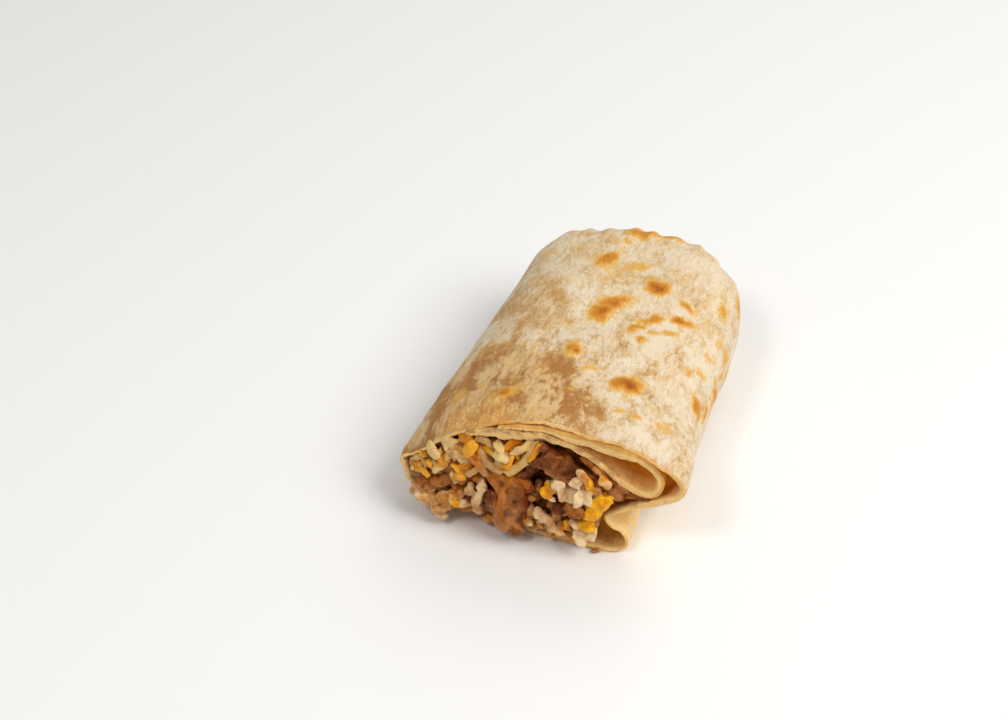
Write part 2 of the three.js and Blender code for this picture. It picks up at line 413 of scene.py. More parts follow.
@dataclass
class Roll:
    """The outer form of the rolled tortilla. Sizes are in millimetres, and pairs run from the cut to the
    folded end."""

    length: float = 105.0
    sheet: float = 2.0
    half_width: tuple[float, float] = (38.2, 33.0)
    half_height: tuple[float, float] = (21.6, 20.6)
    centre: tuple[float, float] = (-3.4, 0.6)
    sunk: float = 1.2
    squareness: float = 2.5
    end_height: float = 20.5
    width_run: float = 30.0
    width_power: float = 3.0
    height_run: float = 20.0
    height_power: float = 2.6
    cut_fade: float = 34.0
    lump: float = 0.55
    pleats: int = 9
    pleat_depth: float = 1.4
    pleat_run: float = 20.0
    cut_outline: tuple[Point, ...] = (
        (-44.0, 17.7, 180.0),
        (-41.0, 20.3, 169.0),
        (-33.5, 27.0, 150.0),
        (-25.5, 33.4, 131.0),
        (-15.0, 39.8, 111.0),
        (-1.5, 43.3, 92.0),
        (9.0, 43.0, 79.0),
        (19.8, 42.5, 63.0),
        (28.6, 39.6, 47.0),
        (34.6, 36.0, 31.0),
        (38.6, 30.2, 12.0),
        (37.2, 26.0, 0.0),
        (32.5, 22.6, -9.0),
        (26.0, 19.0, -18.0),
        (20.5, 16.0, -26.0),
        (17.2, 13.2, -33.0),
        (18.8, 10.9, -39.0),
        (21.6, 9.6, -45.0),
        (23.3, 6.9, -51.0),
        (23.4, 3.6, -56.0),
        (21.0, 0.9, -62.0),
        (15.5, 0.0, -69.0),
        (4.0, 0.0, -81.0),
        (-10.0, 0.0, -97.0),
        (-24.0, 0.0, -114.0),
        (-33.5, 0.9, -131.0),
        (-39.4, 4.2, -149.0),
        (-42.6, 10.0, -165.0),
    )

    def place(self, points: Array) -> Array:
        """Moves points from the roll's frame to the model's frame.

        Args:
            points: Any shape, with x, y, z last, in millimetres.

        Returns:
            The same shape, in metres.
        """
        low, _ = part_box("tortilla")
        leftmost = min(x for x, _, _ in self.cut_outline)
        return points * MM + np.array([low.x - leftmost * MM, low.y, low.z])

    def cut_points(self, t: Array) -> Array:
        """The cut end's outline, as a spline through cut_outline.

        Args:
            t: Places on the outline, where 1 is one point of cut_outline further.

        Returns:
            One row for each t: x, z and the place in degrees round the plain roll.
        """
        given = np.array(self.cut_outline)
        turn = np.array([0.0, 0.0, 360.0])
        padded = np.vstack([given[-1:] + turn, given, given[:2] - turn])
        padded[:, 2] = np.radians(padded[:, 2])
        found = spline(padded, t)
        found[:, 2] = np.degrees(found[:, 2])
        return found

    def end_curve(self, y: Array, run: float, exponent: float) -> Array:
        """Runs from 1 to 0 over the last stretch of the roll, as (1 − uᵖ)^(1/p)."""
        u = np.clip((y - (self.length - run)) / run, 0.0, 1.0)
        return (1.0 - u**exponent) ** (1.0 / exponent)

    def plain(self, place: Array, y: Array) -> Array:
        """The plain roll: in each section a superellipse with a pressed belly, which narrows into the
        rounded and pleated end.

        Args:
            place: Where round the section, in degrees from +x towards the top, one for each column.
            y: The sections, one for each row.

        Returns:
            Rows by columns by 2: x and z.
        """
        angle = np.radians(place)[None, :]
        y = y[:, None]
        back = np.clip(y / self.length, 0.0, 1.0)
        gathered = ease((y - (self.length - self.pleat_run)) / self.pleat_run)
        pinch = 1.0 - self.pleat_depth / 20.0 * gathered * (0.5 + 0.5 * np.cos(self.pleats * angle + 0.6))
        half_width = mix(*self.half_width, back) * pinch
        half_height = mix(*self.half_height, back) * pinch
        width = half_width * self.end_curve(y, self.width_run, self.width_power)
        height = half_height * self.end_curve(y, self.height_run, self.height_power)
        middle = mix(half_height - self.sunk, self.end_height, ease((y - 60.0) / 40.0))
        exponent = 2.0 / self.squareness
        x = mix(*self.centre, back) + width * power(np.cos(angle), exponent)
        z = middle + height * power(np.sin(angle), exponent)
        return np.stack([x, z], axis=-1)

    def surface(self, t: Array, y: Array) -> Array:
        """The outside of the sheet: the cut outline at y = 0, blended into the plain roll, with slow lumps.

        Args:
            t: Places on the cut outline, one for each column.
            y: Sections, one for each row.

        Returns:
            Rows by columns by 3.
        """
        cut = self.cut_points(t)
        near = (1.0 - ease(y / self.cut_fade))[:, None]
        plain = self.plain(cut[:, 2], y)
        x = mix(plain[..., 0], cut[None, :, 0], near)
        z = mix(plain[..., 1], cut[None, :, 1], near)
        rows = y[:, None]
        wave = np.sin(0.11 * x + 0.062 * rows) + 0.7 * np.sin(0.19 * rows - 0.07 * x + 1.3)
        tall = self.lump * wave * ease(z / 30.0) * self.end_curve(rows, self.height_run, 2.0)
        z = np.maximum(0.0, z + tall * (1.0 - near))
        return np.stack([x, np.broadcast_to(rows, x.shape), z], axis=-1)

    def even_places(self, count: int) -> Array:
        """Places round the roll, evenly spaced over the mean of the cut outline and the plain roll, and
        three times as far apart along the table.

        Args:
            count: How many places.

        Returns:
            The places, as cut_points takes them.
        """
        fine = np.linspace(0.0, len(self.cut_outline), 4001)
        cut = self.cut_points(fine)
        plain = self.plain(cut[:, 2], np.array([50.0]))[0]
        spans = 0.5 * sum(np.linalg.norm(np.diff(p, axis=0), axis=1) for p in (cut[:, :2], plain))
        lying = (cut[1:, 1] < 0.5) & (np.abs(cut[1:, 0]) < 30.0)
        along = np.concatenate([[0.0], np.cumsum(spans * np.where(lying, 1 / 3, 1.0))])
        return np.interp(np.linspace(0.0, along[-1], count + 1)[:-1], along, fine)

    def even_stations(self, step: float, first_step: float) -> Array:
        """Sections evenly spaced along the top and down the folded end, and closer together at the cut.

        Args:
            step: The usual spacing in millimetres.
            first_step: The spacing at the cut.

        Returns:
            The y of each section, without the end's very tip.
        """
        tail = self.length - 15.0 * np.linspace(1.0, 0.0, 1500) ** 3
        fine = np.unique(np.concatenate([np.linspace(0.0, 90.0, 1800), tail]))
        top = self.plain(np.array([80.0]), fine)[:, 0, 1]
        spans = np.hypot(np.diff(fine), np.diff(top))
        wanted = mix(first_step, step, ease(fine[1:] / 12.0))
        along = np.concatenate([[0.0], np.cumsum(spans / wanted)])
        return np.interp(np.linspace(0.0, along[-1], int(along[-1]) + 1)[:-1], along, fine)


# -------------------- finishes


def linear(colour: Colour) -> tuple[float, float, float, float]:
    """Turns a display colour into linear light, by the sRGB curve.

    Args:
        colour: Red, green and blue of 0 to 255.

    Returns:
        Red, green, blue and alpha of 0 to 1.
    """
    parts = [c / 255.0 for c in colour]
    red, green, blue = (c / 12.92 if c <= 0.04045 else ((c + 0.055) / 1.055) ** 2.4 for c in parts)
    return (red, green, blue, 1.0)


class Nodes:
    """Builds one material's nodes by short calls. Sizes are in millimetres."""

    def __init__(self, name: str) -> None:
        """Starts a material.

        Args:
            name: The material's name.
        """
        self.material = bpy.data.materials.new(name)
        self.material.use_nodes = True
        self.tree = self.material.node_tree
        self.shader = self.tree.nodes["Principled BSDF"]
        self.coordinates = self.tree.nodes.new("ShaderNodeTexCoord").outputs["Object"]

    def link(self, value: object, socket: Socket) -> None:
        """Fills a socket.

        Args:
            value: A node's output or a plain value.
            socket: Where it goes.
        """
        if isinstance(value, Socket):
            self.tree.links.new(value, socket)
        else:
            socket.default_value = value

    def set(self, **values: object) -> None:
        """Sets the shader's own sockets, named with underscores for spaces."""
        for name, value in values.items():
            self.link(value, self.shader.inputs[name.replace("_", " ")])

    def node(
        self, kind: str, inputs: dict[str | int, object], output: str | int = 0, **settings: object
    ) -> Socket:
        """Adds a node.

        Args:
            kind: What comes after ShaderNode in the name of its type.
            inputs: What fills its sockets, by their names or numbers.
            output: Which of its outputs is wanted.
            settings: Its own properties.

        Returns:
            The output.
        """
        node = self.tree.nodes.new("ShaderNode" + kind)
        for name, setting in settings.items():
            setattr(node, name, setting)
        for name, value in inputs.items():
            self.link(value, node.inputs[name])
        return node.outputs[output]

    def stretched(self, turn: Point, scale: Point) -> Socket:
        """Object coordinates turned by degrees and then scaled."""
        radians = tuple(math.radians(a) for a in turn)
        return self.node("Mapping", {"Rotation": radians, "Scale": scale, "Vector": self.coordinates})

    def noise(
        self,
        size: float,
        detail: float = 3.0,
        roughness: float = 0.55,
        distortion: float = 0.0,
        vector: Socket | None = None,
    ) -> Socket:
        """Noise of several layers.

        Args:
            size: About how wide its blotches are.
            detail: How many finer layers there are.
            roughness: How strong each layer is, as a share of the one before.
            distortion: How far the blotches are warped.
            vector: Where it is read, or none for Object coordinates.

        Returns:
            A value of 0 to 1.
        """
        inputs = {"Scale": 1.0 / (size * MM), "Detail": detail, "Roughness": roughness}
        inputs |= {"Distortion": distortion, "Vector": vector or self.coordinates}
        return self.node("TexNoise", inputs, "Fac")

    def value(self, name: str) -> Socket:
        """A number that the piece's points carry."""
        return self.node("Attribute", {}, "Fac", attribute_name=name)

    def span(self, value: Socket, low: float, high: float) -> Socket:
        """Runs smoothly from 0 at low to 1 at high."""
        inputs = {"From Min": low, "From Max": high, "Value": value}
        return self.node("MapRange", inputs, "Result", interpolation_type="SMOOTHSTEP")

    def math(self, kind: str, a: object, b: object) -> Socket:
        """One step of arithmetic on two numbers."""
        return self.node("Math", {0: a, 1: b}, operation=kind)

    def times(self, a: object, b: object) -> Socket:
        """The product of two numbers."""
        return self.math("MULTIPLY", a, b)

    def sum(self, *terms: object) -> Socket:
        """The sum of several numbers."""
        return reduce(lambda total, term: self.math("ADD", total, term), terms)

    def around(self, value: Socket, strength: float = 1.0) -> Socket:
        """How far a noise is above its middle of one half, times a strength."""
        return self.times(self.math("SUBTRACT", value, 0.5), strength)

    def blend(self, amount: object, a: object, b: object) -> Socket:
        """Blends colour a into colour b. A Colour of 0 to 255 is turned into linear light."""
        first, second = (linear(c) if isinstance(c, tuple) else c for c in (a, b))
        return self.node("Mix", {"Factor": amount, 6: first, 7: second}, 2, data_type="RGBA")

    def bump(
        self, height: Socket, distance: float, strength: float = 1.0, under: Socket | None = None
    ) -> Socket:
        """Relief that stands as high as the distance where the height is 1."""
        inputs = {"Distance": distance * MM, "Strength": strength, "Height": height}
        return self.node("Bump", inputs | ({"Normal": under} if under else {}))


@dataclass(frozen=True)
class TortillaFinish:
    """Toasted flour tortilla: floury cream over tan, with golden and brown toasted blisters, a smooth
    steamed lip, a golden cut edge, painted warm shade deeper inside the sheet, painted shade over the front
    left near the cut, and a painted glow, by emission, for the light that comes through the sheet in the
    folds."""

    flour: Colour = (236, 221, 196)
    veil: Colour = (229, 194, 146)
    dough: Colour = (216, 184, 136)
    tan: Colour = (190, 143, 90)
    bare: Colour = (180, 126, 68)
    steamed: Colour = (255, 218, 152)
    rough_steamed: Colour = (226, 166, 94)
    edge: Colour = (218, 148, 42)
    pale_gold: Colour = (230, 184, 98)
    gold: Colour = (214, 146, 52)
    brown: Colour = (166, 92, 22)
    stain: Colour = (140, 86, 50)
    glow: Colour = (250, 184, 62)

    def make(self) -> bpy.types.Material:
        """Builds the material from the piece's values: toast, steam, thin, warm, edge and stain.

        Returns:
            The material.
        """
        n = Nodes("toasted_tortilla")
        thin_and_shade, warm = n.value("thin_and_shade"), n.value("warm")
        along = n.stretched((0.0, 0.0, 32.0), (1.0, 0.62, 0.8))
        patches = n.noise(11.0, 3.0, 0.55, 0.6, along)
        mottle = n.noise(3.4, 9.0, 0.66, 0.8, along)
        fibres = n.noise(1.3, 6.0, 0.66, 0.9, n.stretched((0.0, 0.0, 32.0), (1.0, 0.4, 0.7)))
        grain = n.noise(0.45, 3.0, 0.6)
        blotches = n.around(n.sum(n.times(patches, 0.38), n.times(mottle, 0.36), n.times(fibres, 0.26)))
        # The sheet's thinness value also carries painted shade: above 0 over the front left near the cut it
        # pushes the colour towards veil, dough, tan and bare; below 0, inside the sheet and the fold, it
        # drives the painted glow.
        blotches = n.times(blotches, n.sum(1.0, n.times(thin_and_shade, 0.95)))
        bare_and_shade = n.sum(n.times(thin_and_shade, n.sum(0.125, n.around(patches, 0.35))), n.times(warm, 0.035))
        mixed = n.sum(blotches, 0.5, n.around(grain, 0.24), bare_and_shade)
        floury = n.blend(n.span(n.sum(thin_and_shade, n.around(patches)), 0.0, 0.9), self.flour, self.veil)
        colour = n.blend(n.span(mixed, 0.44, 0.58), floury, self.dough)
        tanned = n.times(n.span(mixed, 0.53, 0.62), n.sum(0.95, n.times(warm, -0.5)))
        colour = n.blend(tanned, colour, self.tan)
        colour = n.blend(n.times(n.span(mixed, 0.59, 0.71), 0.8), colour, self.bare)
        yellow = n.span(n.noise(7.0, 4.0, 0.6, 0.8), 0.50, 0.72)
        colour = n.blend(n.times(yellow, n.sum(0.25, n.times(warm, 0.45))), colour, self.pale_gold)
        uneven = n.around(mottle, 1.5)
        soft = n.span(n.sum(n.value("steam"), uneven, n.around(patches, 1.8)), 0.45, 1.15)
        speckle = n.sum(n.times(fibres, 0.35), n.times(grain, 0.4), n.times(patches, 0.25))
        speckle = n.sum(speckle, n.times(thin_and_shade, 0.07))
        damp = n.blend(n.span(speckle, 0.51, 0.64), self.steamed, self.rough_steamed)
        colour = n.blend(soft, colour, damp)
        ragged = n.sum(n.value("toast"), n.around(fibres, 0.9), n.around(grain, 0.35))
        colour = n.blend(n.times(n.span(ragged, 0.12, 0.42), 0.9), colour, self.pale_gold)
        colour = n.blend(n.times(n.span(ragged, 0.34, 0.72), 0.95), colour, self.gold)
        colour = n.blend(n.times(n.span(ragged, 0.66, 1.20), 0.95), colour, self.brown)
        # The edge value paints the real golden cut edge and also, deeper inside the sheet and the fold, a
        # painted warm shade.
        golden = n.sum(n.value("edge"), n.times(uneven, 0.6))
        colour = n.blend(n.times(n.span(golden, 0.1, 1.0), 0.9), colour, self.edge)
        stained = n.times(n.value("stain"), n.span(n.noise(2.6, 4.0), 0.30, 0.66))
        colour = n.blend(stained, colour, self.stain)
        relief = n.bump(n.sum(mottle, n.times(fibres, 0.8)), 0.36, 0.9)
        relief = n.bump(grain, 0.17, 0.9, relief)
        n.set(Base_Color=colour, Normal=relief, Roughness=0.55, IOR=1.42)
        n.set(Subsurface_Weight=0.3, Subsurface_Radius=(1.0, 0.7, 0.4), Subsurface_Scale=0.0011)
        # Painted glow: emission where the sheet's thinness value is well below 0, inside the sheet and the
        # fold, stands in for light coming through the sheet.
        glow = n.times(n.span(n.times(thin_and_shade, -1.0), 0.5, 0.8), 0.115)
        n.set(Emission_Color=linear(self.glow), Emission_Strength=glow)
        n.set(Specular_IOR_Level=0.35)
        return n.material


@dataclass(frozen=True)
class CheeseFinish:
    """Shredded cheese: waxy, half see-through, each shred its own tint, painted amber shade in the gaps, and
    stained where it meets beans."""

    name: str
    light: Colour
    deep: Colour
    amber: Colour = (196, 124, 28)
    stain: Colour = (178, 116, 62)
    roughness: float = 0.33

    def make(self) -> bpy.types.Material:
        """Builds the material from the piece's values: tint, stain and hollow.

        Returns:
            The material.
        """
        n = Nodes(self.name)
        tint = n.span(n.sum(n.value("tint"), n.times(n.noise(2.2, 4.0), 0.6)), 0.2, 1.2)
        colour = n.blend(tint, self.light, self.deep)
        # Painted shade: amber darkening in the hollows between shreds.
        colour = n.blend(n.times(n.span(n.value("hollow"), 0.1, 0.9), 0.75), colour, self.amber)
        wet = n.sum(n.value("stain"), n.around(n.noise(2.4, 4.0), 0.9))
        colour = n.blend(n.times(n.span(wet, 0.1, 0.9), 0.9), colour, self.stain)
        relief = n.bump(n.noise(1.1, 4.0), 0.16, 0.7)
        n.set(Base_Color=colour, Normal=relief, Roughness=self.roughness, IOR=1.45)
        n.set(Subsurface_Weight=0.4, Subsurface_Radius=(1.0, 0.7, 0.35), Subsurface_Scale=0.001)
        n.set(Coat_Weight=0.3, Coat_Roughness=0.2, Coat_IOR=1.4, Coat_Normal=relief)
        return n.material


@dataclass(frozen=True)
class BeanFinish:
    """Mashed pinto beans: mauve brown and moist, paler where starchy, orange where cheese has melted in, with
    painted shade in the hollows and painted light on the ridges.
    """

    dark: Colour = (88, 42, 12)
    mauve: Colour = (134, 78, 36)
    pale: Colour = (194, 134, 82)
    melt: Colour = (196, 130, 58)
    amber: Colour = (176, 100, 20)
    skin: Colour = (150, 66, 20)
    deep: Colour = (52, 20, 4)

    def make(self) -> bpy.types.Material:
        """Builds the material from the piece's values: melt, skin, below 0 where starchy, and hollow, below 0
        on ridges.

        Returns:
            The material.
        """
        n = Nodes("mashed_beans")
        hollow, skin = n.value("hollow"), n.value("skin")
        cloud = n.noise(4.5, 5.0, 0.6, 0.8)
        fleck = n.noise(1.5, 5.0, 0.65, 0.6)
        # The hollow term paints shade in the hollows and light on the ridges.
        body = n.sum(n.times(cloud, 0.7), n.times(fleck, 0.3), n.times(hollow, -0.08), n.times(skin, -0.2))
        colour = n.blend(n.span(body, 0.36, 0.54), self.dark, self.mauve)
        colour = n.blend(n.times(n.span(body, 0.50, 0.72), 0.9), colour, self.pale)
        uneven = n.around(n.sum(n.times(cloud, 0.6), n.times(fleck, 0.4)), 1.7)
        reddish = n.span(n.sum(skin, uneven), 0.25, 0.95)
        colour = n.blend(n.times(reddish, 0.85), colour, self.skin)
        streaks = n.noise(2.4, 4.0, 0.6, 1.0, n.stretched((0.0, 20.0, 0.0), (1.0, 0.6, 0.35)))
        molten = n.blend(n.span(streaks, 0.42, 0.60), self.melt, self.amber)
        melted = n.span(n.sum(n.value("melt"), uneven), 0.25, 0.85)
        colour = n.blend(n.times(melted, 0.92), colour, molten)
        # Painted shade: the deep colour in the hollows.
        colour = n.blend(n.times(n.span(hollow, 0.15, 1.0), 0.6), colour, self.deep)
        relief = n.bump(n.noise(1.0, 5.0, 0.6, 0.5), 0.14, 0.7)
        n.set(Base_Color=colour, Normal=relief, Roughness=0.38, IOR=1.42)
        n.set(Subsurface_Weight=0.3, Subsurface_Radius=(1.0, 0.45, 0.2), Subsurface_Scale=0.0012)
        n.set(Coat_Weight=0.25, Coat_Roughness=0.16, Coat_IOR=1.4, Coat_Normal=relief)
        n.set(Specular_IOR_Level=0.3, Specular_Tint=(1.0, 0.8, 0.6, 1.0))
        return n.material


@dataclass(frozen=True)
class EggFinish:
    """Scrambled egg curd: moist, with white and yellow in one curd, a film of beans on some, and painted
    shade in the hollows.
    """

    name: str
    white: Colour
    yolk: Colour
    cream: Colour = (224, 182, 122)
    amber: Colour = (222, 140, 10)
    film: Colour = (202, 138, 56)
    brown: Colour = (160, 96, 36)
    deep: Colour = (130, 76, 22)

    def make(self) -> bpy.types.Material:
        """Builds the material from the piece's values: yolk, film and hollow, below 0 on ridges.

        Returns:
            The material.
        """
        n = Nodes(self.name)
        hollow = n.value("hollow")
        cloud = n.noise(2.8, 4.0, 0.6)
        fleck = n.noise(1.2, 4.0, 0.65)
        milky = n.span(n.sum(n.times(cloud, 0.8), n.times(fleck, 0.2)), 0.42, 0.66)
        yellow = n.blend(n.span(cloud, 0.42, 0.62), self.yolk, self.amber)
        share = n.span(n.sum(n.value("yolk"), n.around(cloud, 1.8)), 0.25, 0.8)
        colour = n.blend(share, n.blend(milky, self.white, self.cream), yellow)
        wet = n.sum(n.value("film"), n.around(n.noise(3.6, 4.0, 0.55), 1.2), n.times(hollow, 0.12))
        browner = n.blend(n.span(fleck, 0.40, 0.66), self.film, self.brown)
        colour = n.blend(n.times(n.span(wet, 0.15, 0.95), 0.92), colour, browner)
        # Painted shade: the deep colour in the hollows.
        colour = n.blend(n.times(n.span(hollow, 0.1, 0.9), 0.65), colour, self.deep)
        relief = n.bump(n.noise(1.1, 5.0, 0.6), 0.14, 0.6)
        n.set(Base_Color=colour, Normal=relief, Roughness=0.38, IOR=1.40)
        n.set(Subsurface_Weight=0.35, Subsurface_Radius=(1.0, 0.7, 0.35), Subsurface_Scale=0.0009)
        n.set(Coat_Weight=0.4, Coat_Roughness=0.18, Coat_IOR=1.4, Coat_Normal=relief)
        n.set(Specular_Tint=(1.0, 0.85, 0.7, 1.0))
        return n.material


def finish(piece: bpy.types.Object, material: bpy.types.Material, slot: Slot, *nodes: str) -> None:
    """Dresses a piece and tells the frame what it rides on and stands for.

    Args:
        piece: The object.
        material: What covers it.
        slot: Not used.
        nodes: The CAD nodes that it stands for, if any.
    """
    piece.data.materials.clear()
    piece.data.materials.append(material)
    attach(piece, BODY)
    if nodes:
        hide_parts(*nodes)


def report(piece: bpy.types.Object) -> None:
    """Logs a piece's name and its number of triangles."""
    piece.data.calc_loop_triangles()
    LOG.info("%s: %d triangles", piece.name, len(piece.data.loop_triangles))


# -------------------- tortilla


@dataclass(frozen=True)
class Blister:
    """A toasted blister: its centre, its radii round and along the roll, how brown and how high it is, and
    its lean in degrees, anticlockwise seen from above."""

    at: Point
    across: float
    along: float
    toast: float
    rise: float
    lean: float = 0.0

    def falloff(self, points: Array) -> Array:
        """How much of the blister is at each point: exp(−d²) with d the distance over the radii.

        Args:
            points: Any shape, with x, y, z last.

        Returns:
            A value for each point, 1 at the centre.
        """
        x, y, z = np.moveaxis(points - np.array(self.at), -1, 0)
        lean = math.radians(self.lean)
        across = x * math.cos(lean) + y * math.sin(lean)
        along = y * math.cos(lean) - x * math.sin(lean)
        return np.exp(-((across**2 + z**2) / self.across**2 + along**2 / self.along**2))


BLISTERS = (
    Blister((10.5, 69.6, 40.1), 3.4, 2.9, 1.15, 0.5, 20.0),
    Blister((14.3, 24.0, 40.7), 5.4, 3.6, 1.1, 1.3, 46.0),
    Blister((15.6, 23.4, 40.7), 3.0, 2.2, 1.25, 0.9, 46.0),
    Blister((0.6, 58.6, 40.5), 5.0, 2.8, 0.95, 0.5, 40.0),
    Blister((-1.5, 53.0, 40.9), 4.4, 3.0, 1.1, 0.5, 66.0),
    Blister((2.4, 77.8, 40.3), 4.2, 3.0, 0.5, 0.3, 20.0),
    Blister((32.5, 34.6, 29.0), 3.4, 2.4, 0.85, 0.4),
    Blister((-7.2, 78.5, 40.0), 2.6, 5.5, 0.85, 0.4, -25.0),
    Blister((12.8, 56.2, 39.2), 4.6, 1.9, 0.85, 0.45, 46.0),
    Blister((9.5, 50.7, 40.0), 3.2, 1.8, 0.8, 0.4, 46.0),
    Blister((20.3, 59.7, 37.7), 3.0, 2.0, 0.95, 0.4),
    Blister((22.5, 60.4, 37.0), 2.2, 1.9, 0.7, 0.3),
    Blister((20.6, 66.3, 38.0), 3.6, 1.6, 0.75, 0.3, -25.0),
    Blister((29.9, 74.7, 33.0), 2.6, 3.6, 0.6, 0.4),
    Blister((12.2, 45.5, 39.9), 2.2, 2.0, 0.6, 0.35),
    Blister((14.9, 50.7, 39.2), 2.2, 1.6, 0.6, 0.3),
    Blister((18.8, 52.8, 38.2), 3.0, 1.7, 0.55, 0.3, 30.0),
    Blister((-3.8, 32.8, 42.2), 2.2, 3.8, 0.8, 0.6),
    Blister((-2.9, 31.4, 42.2), 1.2, 2.0, 1.0, 0.3),
    Blister((-15.8, 10.2, 39.8), 4.4, 2.2, 1.0, 0.5, 30.0),
    Blister((-23.2, 15.0, 36.6), 2.0, 1.8, 0.6, 0.2),
    Blister((2.5, 71.9, 40.5), 2.0, 1.4, 0.45, 0.2),
    Blister((8.1, 73.8, 40.4), 1.8, 1.4, 0.55, 0.2),
    Blister((34.4, 48.1, 22.6), 2.6, 3.8, 0.8, 0.9),
    Blister((34.9, 56.0, 24.5), 2.4, 3.2, 0.75, 0.8),
    Blister((34.8, 63.0, 26.0), 2.4, 3.0, 0.7, 0.7),
    Blister((30.6, 52.5, 31.9), 3.6, 2.3, 0.4, 0.3),
    Blister((30.7, 45.1, 31.9), 3.8, 2.0, 0.45, 0.3),
    Blister((27.6, 41.6, 34.6), 2.4, 1.4, 0.6, 0.3, -20.0),
    Blister((31.8, 62.2, 29.9), 2.2, 3.8, 0.4, 0.3),
    Blister((3.1, 26.5, 42.1), 2.6, 1.8, 0.5, 0.3),
    Blister((-1.0, 94.5, 40.0), 6.0, 3.4, 0.8, 0.5, 20.0),
    Blister((7.5, 97.5, 38.6), 4.6, 2.8, 0.75, 0.6),
    Blister((-4.7, 88.2, 40.2), 3.6, 2.6, 0.4, 0.3),
    Blister((-10.2, 78.1, 39.9), 2.4, 4.0, 0.45, 0.3),
    Blister((15.4, 11.3, 42.4), 1.9, 1.6, 0.55, 0.2, 30.0),
    Blister((20.6, 11.1, 41.5), 2.2, 1.7, 0.55, 0.2, 30.0),
    Blister((7.0, 12.6, 43.0), 2.2, 1.3, 0.5, 0.2, 35.0),
    Blister((22.7, 18.8, 39.4), 2.0, 2.3, 0.35, 0.2),
    Blister((28.0, 13.2, 38.3), 3.4, 3.2, 0.42, 0.3, 20.0),
    Blister((34.4, 38.5, 24.0), 2.4, 3.6, 0.75, 0.5),
    Blister((-30.2, 13.5, 32.0), 2.6, 3.2, 0.5, 0.4),
)


